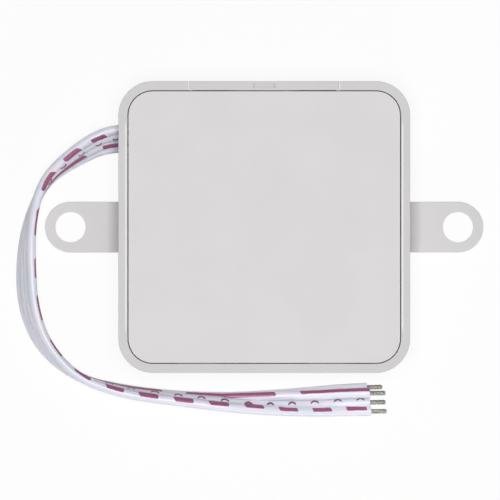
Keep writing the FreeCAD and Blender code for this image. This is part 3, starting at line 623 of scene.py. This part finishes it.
# The middle between the two inner cores, seen from the front, and the height of the lowest
# core, in mm. Then the tilt of the section between cores d and c, c and b, and b and a, in
# degrees, and how far b and c part, in mm.
lead_route = [
    (-21.79, 13.65, 5.489, 46, 46, 46, 0),
    (-24.39, 13.65, 5.489, 46, 46, 46, 0),
    (-29.05, 11.15, 4.3, 64, 61, 63, 0),
    (-34.05, 7.2, 2.3, 86, 83, 80, 0),
    (-36.35, 1.0, 1.0, 101, 100, 100, 0),
    (-36.95, -5.5, 0.7, 115, 114, 116, 0),
    (-36.6, -12.4, 0.7, 117, 116, 118, 0),
    (-34.25, -18.5, 0.7, 109, 108, 109, 0),
    (-29.0, -23.45, 0.7, 91, 91, 91, 0),
    (-21.45, -25.45, 0.7, 85, 78, 75, 0),
    (-13.45, -26.24, 0.7, 91, 76, 66, 0),
    (-5.45, -26.75, 0.7, 90, 50, 56, 0),
    (1.4, -26.84, 0.7, 80, -8, 49, 0.04),
    (7.8, -26.74, 0.7, 63, -20, 30, 0.15),
    (12.6, -26.48, 0.7, 53, -33, 12, 0.32),
    (16.2, -26.43, 0.7, 50, -34, 3, 0.32),
]
# How far each core's end is cut past the route, in mm
core_trims = {"a": 0.3, "b": 0.15, "c": 0.15, "d": -0.3}
upward = np.array([0.0, 0.0, 1.0])


def core_points():
    """Return each core's points of the route.

    The section is a chain from core d to core a. Each core lies one pitch from the last one,
    along a line that is tilted from level, and the chain is moved to where the route says.
    """
    x, y, low, tilt_dc, tilt_cb, tilt_ba, parting = np.array(lead_route).T
    spots = np.stack([x, y], axis=1) * mm
    heading = unit(np.vstack([spots[1:], spots[-1:]]) - np.vstack([spots[:1], spots[:-1]]))
    heading[:2] = (-1, 0)
    right = np.stack([heading[:, 1], -heading[:, 0]], axis=1)
    tilts = np.radians([0 * x, tilt_dc, tilt_cb, tilt_ba])
    even = core_pitch + 0 * x
    steps = np.array([0 * x, even, even + parting * mm, even])
    across = np.cumsum(steps * np.cos(tilts), axis=0)
    height = np.cumsum(steps * np.sin(tilts), axis=0)
    across -= (across[1] + across[2]) / 2
    height += low * mm - height.min(axis=0)
    points = {}
    for name, aside, rise in zip("dcba", across, height):
        plan = spots + right * aside[:, None]
        plan[-1] += heading[-1] * core_trims[name] * mm
        points[name] = np.column_stack([plan, rise])
    return points


def drawn_line(points, steps):
    """Return points along the smooth NURBS line that these control points pull."""
    curve = bpy.data.curves.new("line", "CURVE")
    curve.dimensions = "3D"
    spline = curve.splines.new("NURBS")
    spline.points.add(len(points) - 1)
    spline.points.foreach_set("co", np.column_stack([points, np.ones(len(points))]).ravel())
    spline.order_u = 3
    spline.use_endpoint_u = True
    spline.resolution_u = steps
    holder = bpy.data.objects.new("line", curve)
    drawn = bpy.data.meshes.new_from_object(holder)
    line = np.empty(len(drawn.vertices) * 3)
    drawn.vertices.foreach_get("co", line)
    bpy.data.objects.remove(holder)
    bpy.data.curves.remove(curve)
    bpy.data.meshes.remove(drawn)
    return line.reshape(-1, 3)


sheath_white = colour(234, 231, 242)
sheath_blue = colour(225, 229, 241)
mark_magenta = colour(152, 58, 108)
mark_purple = colour(112, 38, 92)


def lead_finish(core, mark, ink):
    """Return the vinyl of one core with its printed mark."""
    milky = {"Subsurface Weight": 0.4, "Subsurface Radius": (1, 1, 1),
             "Subsurface Scale": 0.5 * mm}
    material, tone, shader = new_finish(f"lead_vinyl_{core}", sheath_white, 0.36, milky)
    cloud = grain(tone, 3 * mm).rise(0.35, 0.65).between(sheath_white, sheath_blue)
    worn = grain(tone, 0.12 * mm)
    printed = mark(tone) * (0.72 + worn * 0.4)
    printed.math("MINIMUM", 1.0).between(cloud, ink).into(shader, "Base Color")
    grain(tone, 0.5 * mm).relief(0.004 * mm).into(shader, "Normal")
    return material


def chart_of(tone):
    """Return how many marks have passed, and the distance round from their middle in mm."""
    return parts_of(tone.node("ShaderNodeTexCoord", output=2))[:2]


def dashes(length, width, period, dry_from=0.0, dry_share=0.0):
    """Return a mark of dashes of a length and width, in mm, one in each period.

    A dash covers the places between its two end lines, which slant and bow a little, and
    within half its width of its middle line. The ink's edge is ragged. Where the print wheel
    runs dry, over two dashes from a first one, the width shrinks by a share.
    """
    def mark(tone):
        passed, round_it = chart_of(tone)
        along = passed.math("FRACT") * period
        ragged = grain(tone, 0.14 * mm) * 0.14
        slant = along + round_it * 0.3
        bow = round_it * round_it * (0.9 / width)
        begins = (slant - bow - ragged).rise(0.02, 0.09)
        ends = 1 - (slant + bow + ragged).rise(length, length + 0.07)
        half = (1 - passed.rise(dry_from, dry_from + 2) * dry_share) * (width / 2)
        return begins * ends * (1 - (abs(round_it) + ragged - half).rise(0, 0.06))
    return mark


def hooks(width, height, line_width, period):
    """Return a mark of small hooks, each two strokes that meet in a rounded point.

    A stroke covers the places within half its width of a line that falls evenly from the
    point: its height is the slope times the root of the squared distance and the squared
    radius of the point. Measured upright, half the width is larger by one over the cosine of
    the slope.
    """
    slope = 2 * height / width
    point_radius = 0.15 * width

    def mark(tone):
        passed, round_it = chart_of(tone)
        turns = passed + 0.5
        along = (turns.math("FRACT") - 0.5) * period
        away = along * along + point_radius ** 2
        line = height / 2 - (away.math("SQRT") - point_radius) * slope
        half = math.hypot(1, slope) * line_width / 2
        stroke = 1 - abs(round_it - line).rise(half - 0.05, half + 0.03)
        return stroke * (1 - abs(along).rise(width / 2 - 0.02, width / 2 + 0.04))
    return mark


# Where marks start or stand along the lead, in mm, as they show: the print slips a little.
marks_at = {
    "a": [-17.0, -11.9, -6.8, -1.7, 2.6, 6.7, 11.8, 18.0, 26.0, 32.0, 39.7, 46.0, 51.8, 57.1,
          62.6, 68.0, 73.5, 78.8, 84.0, 89.2, 94.6],
    "b": [-16.1, -12.6, -9.1, -5.6, -2.2, 1.2, 4.0, 7.0, 10.3, 13.6, 17.1, 20.7, 24.2, 27.7,
          31.3, 34.8, 38.3, 41.9, 45.4, 48.9, 52.5, 56.0, 59.8, 63.4, 67.0, 70.6, 74.2, 77.6,
          81.0, 84.5, 88.1, 91.6, 95.2],
    "c": [-28.0, -7.7, 6.2, 26.5, 46.9, 64.5, 82.2, 99.8],
}
# How far the marks have turned from the top of the core towards the inside of the bend:
# places along the lead in mm, and degrees.
marks_turned = {
    "a": ([0, 4, 8, 14, 17, 20, 45, 51, 58, 64, 70, 74, 77, 80, 85, 91],
          [66, 64, 40, 44, 68, 83, 84, 58, 48, 42, 60, 66, 56, 31, 32, 42]),
    "b": ([0, 3.5, 7, 10.5, 14, 18, 45, 58, 63, 67, 71, 74, 78, 81, 84.5, 88, 92],
          [36, 58, 60, 34, 50, 80, 90, 58, 40, 34, 26, 2, 5, 17, 29, 36, 46]),
    "c": ([0, 5, 10, 14, 20, 45, 58, 64, 70, 74, 78, 84, 91],
          [46, 46, 42, 50, 85, 92, 54, 22, 9, 24, 30, 55, 61]),
    "d": ([0, 57, 61, 69, 73, 95], [86, 86, 72, 72, 88, 88]),
}
sheath_radius = 0.695 * mm
web_half = 0.57 * mm
mean_power = 9
ring_sides = 48
# Where the two inner cores come apart, on the way to their ends
web_torn = ((70 * mm, 75 * mm), (1, 0))
beside = {"a": "b", "b": "ac", "c": "bd", "d": "c"}
fine_print_period = 1.95
# Core a has short dashes, b hooks, c long dashes and d fine dots.
lead_finishes = {
    "a": lead_finish("a", dashes(3.2, 1.2, 5.37, 15.5, 0.36), mark_magenta),
    "b": lead_finish("b", hooks(1.2, 0.46, 0.3, 3.55), mark_purple),
    "c": lead_finish("c", dashes(13.9, 0.92, 17.5), mark_magenta),
    "d": lead_finish("d", dashes(0.46, 0.2, fine_print_period), mark_purple),
}
line_steps = 26


def travel_along(lines):
    """Return how far the middle of the four lines has gone, seen from the front."""
    middle = sum(lines.values()) / len(lines)
    steps = np.linalg.norm(np.diff(middle[:, :2], axis=0), axis=1)
    return np.append(0, np.cumsum(steps))


def core_rings(name, lines, travel, torn, torn_pairs):
    """Return the rings of one core's sheath along its line, and the angles round it.

    Each ring is round, widened towards a bonded neighbour as far as the web between them:
    the radius is a high power mean of the round sheath's and of the web's. The web of a torn
    pair fades where the travel passes from the first place of the tear to the second.
    """
    line = lines[name]
    forward = unit(np.gradient(line, axis=0))
    inside = unit(np.stack([-forward[:, 1], forward[:, 0], 0 * travel], axis=1))
    top = np.cross(forward, inside)
    turned = np.radians(np.interp(travel / mm, *marks_turned[name]))
    around = np.linspace(-np.pi, np.pi, ring_sides, endpoint=False)
    angle = turned[:, None] + around[None, :]
    radius = np.full(angle.shape, sheath_radius) ** mean_power
    for other in beside[name]:
        apart = lines[other] - line
        towards = np.arctan2((apart * inside).sum(1), (apart * top).sum(1))[:, None]
        reach = np.linalg.norm(apart, axis=1)[:, None] / 2
        bonded = np.ones((len(line), 1))
        if {name, other} in torn_pairs:
            bonded = np.interp(travel, *torn)[:, None]
        off = angle - towards
        ahead = np.maximum(np.cos(off), 1e-6)
        web = np.minimum(reach / ahead, web_half / np.maximum(np.abs(np.sin(off)), 1e-6))
        radius += (np.where(np.cos(off) > 0, web, 0) * bonded) ** mean_power
    radius = radius ** (1 / mean_power)
    rings = line[:, None, :] + radius[:, :, None] * (
        top[:, None, :] * np.cos(angle)[:, :, None]
        + inside[:, None, :] * np.sin(angle)[:, :, None])
    return rings, forward, around


def chart_along(name, travel, around):
    """Return the chart of a core: how many marks have passed, and the distance round."""
    if name in marks_at:
        passed = np.interp(travel / mm, marks_at[name], np.arange(len(marks_at[name])))
    else:
        passed = travel / mm / fine_print_period
    return passed, np.append(around, np.pi) * sheath_radius / mm


lines = {name: drawn_line(points, line_steps) for name, points in core_points().items()}
travel = travel_along(lines)
cut_round = 0.03 * mm
strand_radius = 0.36 * mm


def make_core(name):
    """Make one core's sheath, with a rounded cut end, and chart its marks."""
    rings, forward, around = core_rings(name, lines, travel, web_torn, [{"b", "c"}])
    end = rings[-1]
    middle_of_end = lines[name][-1]
    spoke = unit(end - middle_of_end)
    past = forward[-1] * cut_round
    rim = end - spoke * cut_round + past
    collar = middle_of_end + spoke * strand_radius + past
    rings = np.concatenate([rings, rim[None], collar[None]])
    passed, across = chart_along(name, travel, around)
    chart = (np.append(passed, [passed[-1]] * 2), across)
    return ringed_piece(f"flat_core_{name}", [rings], lead_finishes[name], chart)


tip_length = 2.43 * mm
tip_root = 0.2 * mm
strand_lay = 3.4 * mm
tin_fill = 0.8
strand_finish, tone, shader = new_finish("tinned_strands", colour(150, 150, 142), 0.38,
                                         {"Metallic": 0.85})
dirt = grain(tone, 0.25 * mm).rise(0.35, 0.75)
dirt.between(colour(156, 156, 148), colour(96, 94, 84)).into(shader, "Base Color")
(0.3 + dirt * 0.25).into(shader, "Roughness")


def make_tip(name):
    """Make one tinned end: a centre strand and six round it, twisted and filled with tin.

    The radius at an angle is the outer edge of the nearest strand, or the tin between them,
    and the whole pattern turns steadily along the tip. It narrows at its end.
    """
    line = lines[name]
    forward = unit(line[-1] - line[-2])
    side = unit(np.cross(upward, forward))
    top = np.cross(forward, side)
    along = np.linspace(0, 1, 40)
    angle = np.linspace(0, 2 * np.pi, 60, endpoint=False)
    turn = angle[None, :] - 2 * np.pi * along[:, None] * tip_length / strand_lay
    off = turn % (np.pi / 3) - np.pi / 6
    strand_edge = 2 * np.cos(off) + np.sqrt(np.maximum(1 - 4 * np.sin(off) ** 2, 0))
    narrow = 1 - 0.3 * np.clip((along - 0.9) / 0.1, 0, 1) ** 2
    radius = strand_radius * np.maximum(strand_edge / 3, tin_fill) * narrow[:, None]
    base = line[-1] - forward * tip_root
    span = tip_length + tip_root
    spokes = side * np.cos(angle)[:, None] + top * np.sin(angle)[:, None]
    rings = base + along[:, None, None] * forward * span + radius[:, :, None] * spokes
    chart = (along * span / mm, np.append(angle, 2 * np.pi) * strand_radius / mm)
    return ringed_piece(f"tinned_end_{name}", [rings], strand_finish, chart)


port_exit = (-22.5 * mm, 13.65 * mm, 7.0 * mm)
for name in lines:
    core = make_core(name)
    tip = make_tip(name)
    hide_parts(f"lead_core_{name}")
    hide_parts(f"core_tip_{name}")
    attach(core, "case")
    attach(tip, "case")


# The lead inside the case: the same four cores, levelled out of the port's slant, pressed
# flat by the clamp bar, and split from each other to fan out into the plug.
exit_tilt = math.radians(lead_route[0][3])
seam_x = lead_route[0][0] * mm
exit_y, exit_z = port_exit[1:]
clamp_low, clamp_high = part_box("clamp_bar")
plug_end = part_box("plug_housing")[0][0]
plug_pitch = 2.0 * mm
crimp_depth = 1.2 * mm
# How far from the seam the lead is still straight, and where it is half levelled
straight, half_level = 0.8 * mm, 2.3 * mm
core_places = {"a": 1.5, "b": 0.5, "c": -0.5, "d": -1.5}
# From the plug to the port: a place along X, how far apart the cores are there, and the tilt
inner_route = [
    (plug_end + crimp_depth, plug_pitch, 0.0),
    (plug_end - crimp_depth / 2, plug_pitch, 0.0),
    (clamp_high[0] - 0.4 * mm, core_pitch, 0.0),
    (clamp_low[0] - 0.3 * mm, core_pitch, 0.0),
    (seam_x + half_level, core_pitch, exit_tilt / 2),
    (seam_x + straight, core_pitch, exit_tilt),
    (seam_x, core_pitch, exit_tilt),
]
inner_x, inner_pitch, inner_tilt = np.array(inner_route).T
inner_lines = {}
for name, place in core_places.items():
    inner_lines[name] = drawn_line(np.column_stack([
        inner_x, exit_y + place * inner_pitch * np.cos(inner_tilt),
        exit_z + place * inner_pitch * np.sin(inner_tilt)]), line_steps)
inner_travel = travel_along(inner_lines)
inner_travel -= inner_travel[-1]
# Where the cores come together, on the way from the plug to the clamp
inner_torn = ((-8.6 * mm, -7.4 * mm), (0, 1))
for name in inner_lines:
    rings, forward, around = core_rings(name, inner_lines, inner_travel, inner_torn,
                                        [{"a", "b"}, {"b", "c"}, {"c", "d"}])
    chart = chart_along(name, inner_travel, around)
    inner_core = ringed_piece(f"inner_core_{name}", [rings], lead_finishes[name], chart)
    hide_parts("inner_leads")
    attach(inner_core, "case")


# The plug on the lead and the header on the board: natural nylon mouldings that slide into
# each other. Each way of the plug holds a crimped contact, and the header's bent pins of
# tinned brass reach into them.
plug_finish = moulded_plastic("natural_nylon", colour(226, 220, 200), colour(234, 230, 214),
                              0.4, 0.3 * mm, 0.003 * mm)
header_finish = moulded_plastic("header_nylon", colour(236, 234, 224), colour(228, 226, 214),
                                0.36, 0.3 * mm, 0.003 * mm)
dress(plug_finish, "plug_housing")
dress(header_finish, "header_housing")


def bare_metal(name, base, worn, roughness, lump, depth):
    """Return the finish of a bare or plated metal with faint smears and scratches."""
    material, tone, shader = new_finish(name, base, roughness, {"Metallic": 1.0})
    smear = grain(tone, lump, 3.0)
    smear.rise(0.35, 0.75).between(base, worn).into(shader, "Base Color")
    (roughness - 0.08 + smear * 0.2).into(shader, "Roughness")
    grain(tone, lump / 4).relief(depth).into(shader, "Normal")
    return material


pin_finish = bare_metal("tinned_brass", colour(200, 198, 190), colour(186, 176, 150), 0.28,
                        0.8 * mm, 0.004 * mm)
dress(pin_finish, "header_pins", "plug_terminals")


# The clamp: a black nylon bar over the flat lead, drawn down by two pan head screws. The
# same kind of screw, one size up, holds the board on its four posts.
clamp_finish = moulded_plastic("clamp_nylon", colour(46, 46, 48), colour(54, 54, 56), 0.46,
                               0.2 * mm, 0.006 * mm)
dress(clamp_finish, "clamp_bar")
zinc_finish = bare_metal("zinc_plate", colour(196, 200, 206), colour(170, 172, 172), 0.3,
                         0.7 * mm, 0.006 * mm)
dress(zinc_finish, "board_screws", "clamp_screws")


# The power parts and the chips: an aluminium capacitor with a black mark on its top, on a
# plastic foot, a ferrite choke with its winding in a ring of the top, a resettable fuse, and
# diodes and chips of black epoxy on tinned legs.
def middle_of(name):
    """Return the middle of a node's box."""
    return np.mean(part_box(name), axis=0)


def disc_tone(tone, centre, radius, soft=0.04 * mm):
    """Return 1 within a radius of an upright axis, and 0 outside."""
    x, y, _ = axes_of(tone)
    off_x = x - centre[0]
    off_y = y - centre[1]
    away = (off_x * off_x + off_y * off_y).math("SQRT")
    return 1 - away.rise(radius - soft, radius + soft)


def drawn_grain(tone, size, stretch):
    """Return a noise whose lumps are drawn out along an axis by one over its stretch."""
    place = tone.node("ShaderNodeMapping", {"vector_type": "POINT"},
                      {"Vector": place_of(tone), "Scale": stretch})
    return grain(tone, size, place=place)


mark_edge = middle_of("capacitor_can")[0] - 1.6 * mm
can_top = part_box("capacitor_can")[1][2]
can_finish, tone, shader = new_finish("drawn_aluminium", colour(206, 206, 208), 0.28)
x, _, z = axes_of(tone)
drawn_lines = drawn_grain(tone, 0.5 * mm, (1, 1, 0.04))
beside_mark = (x - mark_edge).rise(-0.02 * mm, 0.02 * mm)
negative_side = (z - can_top).rise(-0.3 * mm, -0.24 * mm) * (1 - beside_mark)
metal = drawn_lines.between(colour(196, 196, 198), colour(216, 216, 218))
negative_side.between(metal, colour(34, 34, 36)).into(shader, "Base Color")
(1 - negative_side).into(shader, "Metallic")
(0.2 + drawn_lines * 0.12 + negative_side * 0.25).into(shader, "Roughness")
drawn_lines.relief(0.004 * mm).into(shader, "Normal")
dress(can_finish, "capacitor_can")
black_moulding = moulded_plastic("black_moulding", colour(34, 34, 36), colour(42, 42, 44), 0.5,
                                 0.15 * mm, 0.006 * mm)
dress(black_moulding, "capacitor_base")

coil_low, coil_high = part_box("power_inductor")
coil_middle = middle_of("power_inductor")
# The winding's ring, and where the soldered tabs begin, how wide they are and how high
winding_outer, winding_inner, winding_depth = 2.4 * mm, 1.75 * mm, 0.3 * mm
tab_inner, tab_half, tab_height = 2.75 * mm, 1.9 * mm, 0.9 * mm
coil_finish, tone, shader = new_finish("ferrite", colour(58, 58, 60), 0.6)
x, y, z = axes_of(tone)
grit = grain(tone, 0.12 * mm, 3.0)
hub = disc_tone(tone, coil_middle, winding_inner)
at_top = (z - coil_high[2]).rise(-winding_depth - 0.1 * mm, -winding_depth)
winding = disc_tone(tone, coil_middle, winding_outer) * (1 - hub) * at_top
tab = abs(x - coil_middle[0]).rise(tab_inner, tab_inner + 0.05 * mm) * (
    1 - abs(y - coil_middle[1]).rise(tab_half, tab_half + 0.03 * mm)) * (
    1 - (z - coil_low[2]).rise(tab_height, tab_height + 0.03 * mm))
body = grit.between(colour(50, 50, 52), colour(70, 70, 72))
wound = grit.between(colour(150, 82, 46), colour(176, 104, 62))
copper = winding.between(body, wound)
tab.between(copper, colour(200, 200, 198)).into(shader, "Base Color")
tab.math("MAXIMUM", winding * 0.7).into(shader, "Metallic")
(0.62 - tab * 0.35 - winding * 0.2).into(shader, "Roughness")
grit.relief(0.012 * mm).into(shader, "Normal")
dress(coil_finish, "power_inductor")

fuse_middle = middle_of("input_fuse")
fuse_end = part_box("input_fuse")[1][0] - fuse_middle[0] - 0.7 * mm
fuse_finish, tone, shader = new_finish("fuse_laminate", colour(44, 104, 70), 0.45)
x, _, _ = axes_of(tone)
plated = abs(x - fuse_middle[0]).rise(fuse_end, fuse_end + 0.04 * mm)
patch = grain(tone, 0.5 * mm)
body = patch.between(colour(38, 96, 64), colour(54, 118, 80))
ends = patch.between(colour(196, 196, 190), colour(214, 214, 210))
plated.between(body, ends).into(shader, "Base Color")
plated.into(shader, "Metallic")
(0.5 - plated * 0.25).into(shader, "Roughness")
patch.relief(0.01 * mm).into(shader, "Normal")
dress(fuse_finish, "input_fuse")


def epoxy_finish(name, marks):
    """Return black moulding epoxy with a paler print or a moulded dimple where marks say."""
    material, tone, shader = new_finish(name, colour(38, 38, 40), 0.55)
    fine = grain(tone, 0.08 * mm)
    body = fine.between(colour(32, 32, 34), colour(46, 46, 48))
    printed, dimpled = marks(tone)
    printed.between(body, colour(168, 168, 164)).into(shader, "Base Color")
    (0.58 - dimpled * 0.3).into(shader, "Roughness")
    (fine * 0.12 - dimpled).relief(0.04 * mm).into(shader, "Normal")
    return material


def cathode_bands(tone):
    """Return marks with a pale band across the top of each diode, near its left end."""
    x, _, z = axes_of(tone)
    low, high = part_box("diodes")
    along = x - low[0]
    band = along.rise(0.42 * mm, 0.45 * mm) * (1 - along.rise(0.95 * mm, 0.98 * mm))
    return band * (z - high[2]).rise(-0.06 * mm, -0.03 * mm), band * 0


def pin_one_dimple(name):
    """Return marks with one round dimple at a chip's first leg."""
    low, high = np.array(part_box(name))
    spot = low + 0.75 * mm

    def marks(tone):
        _, _, z = axes_of(tone)
        dimple = disc_tone(tone, spot, 0.32 * mm) * (z - high[2]).rise(-0.06 * mm, -0.03 * mm)
        return dimple * 0.05, dimple
    return marks


dress(epoxy_finish("diode_epoxy", cathode_bands), "diodes")
for part in ("converter", "driver", "radio"):
    dress(epoxy_finish(f"{part}_epoxy", pin_one_dimple(f"{part}_chip")), f"{part}_chip")
leg_finish = bare_metal("tinned_legs", colour(198, 198, 196), colour(168, 168, 164), 0.26,
                        0.5 * mm, 0.004 * mm)
dress(leg_finish, "diode_legs", "converter_legs", "driver_legs", "chip_terminals")


# The small chip parts: tan ceramic capacitors, and resistors of white ceramic with a black
# glaze on top. Their ends are dipped in tin.
capacitor_tones = (colour(158, 128, 92), colour(184, 156, 120))
dress(mottled("capacitor_ceramic", capacitor_tones, 0.42, 0.3 * mm, 0.008 * mm, detail=3.0),
      "chip_capacitors")
resistor_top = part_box("chip_resistors")[1][2]
glaze_depth = 0.07 * mm
resistor_finish, tone, shader = new_finish("resistor_glaze", colour(28, 28, 30), 0.22)
_, _, z = axes_of(tone)
glazed = (z - resistor_top).rise(-glaze_depth, -glaze_depth + 0.02 * mm)
smear = grain(tone, 0.3 * mm)
glazed.between(smear.between(colour(228, 226, 218), colour(238, 236, 230)),
               smear.between(colour(24, 24, 26), colour(36, 36, 40))).into(shader, "Base Color")
(0.6 - glazed * 0.38).into(shader, "Roughness")
smear.relief(0.006 * mm).into(shader, "Normal")
dress(resistor_finish, "chip_resistors")


# The radio: a small board of its own under a dark blue mask, soldered by gold half-round side
# contacts, with a zigzag aerial at its end and a folded tin-plated shield over the chip.
radio_middle = middle_of("radio_board")
radio_half = (radio_high[0] - radio_low[0]) / 2
contact_depth, contact_half, row_half = 0.9 * mm, 0.45 * mm, 6.6 * mm
radio_finish, tone, shader = new_finish("radio_mask", colour(26, 40, 74), 0.3,
                                        {"Coat Weight": 0.3})
x, y, z = axes_of(tone)
turns = (y - side_contact_y[0]) * (1 / side_contact_pitch) + 0.5
across = abs(turns.math("FRACT") - 0.5) * side_contact_pitch
inner = near(x, radio_middle[0], radio_half - contact_depth)
in_row = 1 - abs(y - radio_middle[1]).rise(row_half, row_half + 0.05 * mm)
pad = (1 - inner) * near(across, 0.0, contact_half) * in_row
cloud = grain(tone, 3 * mm)
edge = 1 - (z - radio_high[2]).rise(-0.06 * mm, -0.04 * mm)
mask = cloud.between(colour(22, 36, 68), colour(32, 48, 84))
side = edge.between(mask, colour(150, 142, 96))
pad.between(side, colour(216, 180, 98)).into(shader, "Base Color")
pad.into(shader, "Metallic")
(pad - cloud * 0.2).relief(0.02 * mm).into(shader, "Normal")
dress(radio_finish, "radio_board")
gold_finish = bare_metal("gold_plate", colour(222, 184, 104), colour(206, 166, 88), 0.26,
                         0.6 * mm, 0.003 * mm)
dress(gold_finish, "radio_aerial")
shield_finish = bare_metal("tin_plate", colour(204, 204, 206), colour(178, 178, 178), 0.3,
                           2.5 * mm, 0.006 * mm)
dress(shield_finish, "radio_shield", "radio_crystal")


# The pairing switch: a black moulded base under a folded steel top, held by four hot-formed
# pegs, with a brown button that clicks down. The lamp beside it is a white body filled with
# yellowish clear resin.
dress(black_moulding, "switch_base")
switch_middle = middle_of("switch_plate")
peg_place, peg_radius = 2.3 * mm, 0.39 * mm
plate_finish, tone, shader = new_finish("steel_plate", colour(190, 192, 194), 0.3)
x, y, _ = axes_of(tone)
off_x = abs(x - switch_middle[0]) - peg_place
off_y = abs(y - switch_middle[1]) - peg_place
away = (off_x * off_x + off_y * off_y).math("SQRT")
peg = 1 - away.rise(peg_radius - 0.03 * mm, peg_radius + 0.03 * mm)
brushed = drawn_grain(tone, 0.4 * mm, (0.06, 1, 1))
steel = brushed.between(colour(176, 178, 180), colour(202, 204, 206))
peg.between(steel, colour(30, 30, 32)).into(shader, "Base Color")
(1 - peg).into(shader, "Metallic")
(0.24 + brushed * 0.16 + peg * 0.2).into(shader, "Roughness")
(brushed * 0.1 + peg).relief(0.04 * mm).into(shader, "Normal")
dress(plate_finish, "switch_plate")
button_finish = moulded_plastic("button_plastic", colour(112, 56, 40), colour(124, 66, 48),
                                0.42, 0.2 * mm, 0.006 * mm)
dress(button_finish, "pairing_button")
lamp_middle = middle_of("status_lamp")
lamp_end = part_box("status_lamp")[1][0] - lamp_middle[0] - 0.3 * mm
lamp_finish, tone, shader = new_finish("lamp_body", colour(232, 230, 224), 0.4)
x, _, z = axes_of(tone)
below_lens = 1 - (z - board_top).rise(0.8 * mm, 0.84 * mm)
end_metal = (1 - near(x, lamp_middle[0], lamp_end)) * below_lens
cloud = grain(tone, 0.5 * mm)
white = cloud.between(colour(226, 224, 216), colour(238, 236, 232))
end_metal.between(white, colour(200, 200, 196)).into(shader, "Base Color")
end_metal.into(shader, "Metallic")
cloud.relief(0.006 * mm).into(shader, "Normal")
dress(lamp_finish, "status_lamp")
lens_finish = mottled("lamp_resin", (colour(232, 214, 130), colour(240, 230, 170)), 0.1,
                      0.4 * mm, 0.006 * mm, {"Transmission Weight": 0.5, "IOR": 1.5})
dress(lens_finish, "lamp_lens")


# The front cover: a flat plate of the same pale plastic with a slightly warmer skin, held by
# two lugs at its lower edge and by the latch at its upper edge.
cover_finish = moulded_plastic("cover_abs", colour(213, 210, 211), colour(216, 213, 214),
                               0.5, 0.12 * mm, 0.002 * mm)
dress(cover_finish, "front_cover")
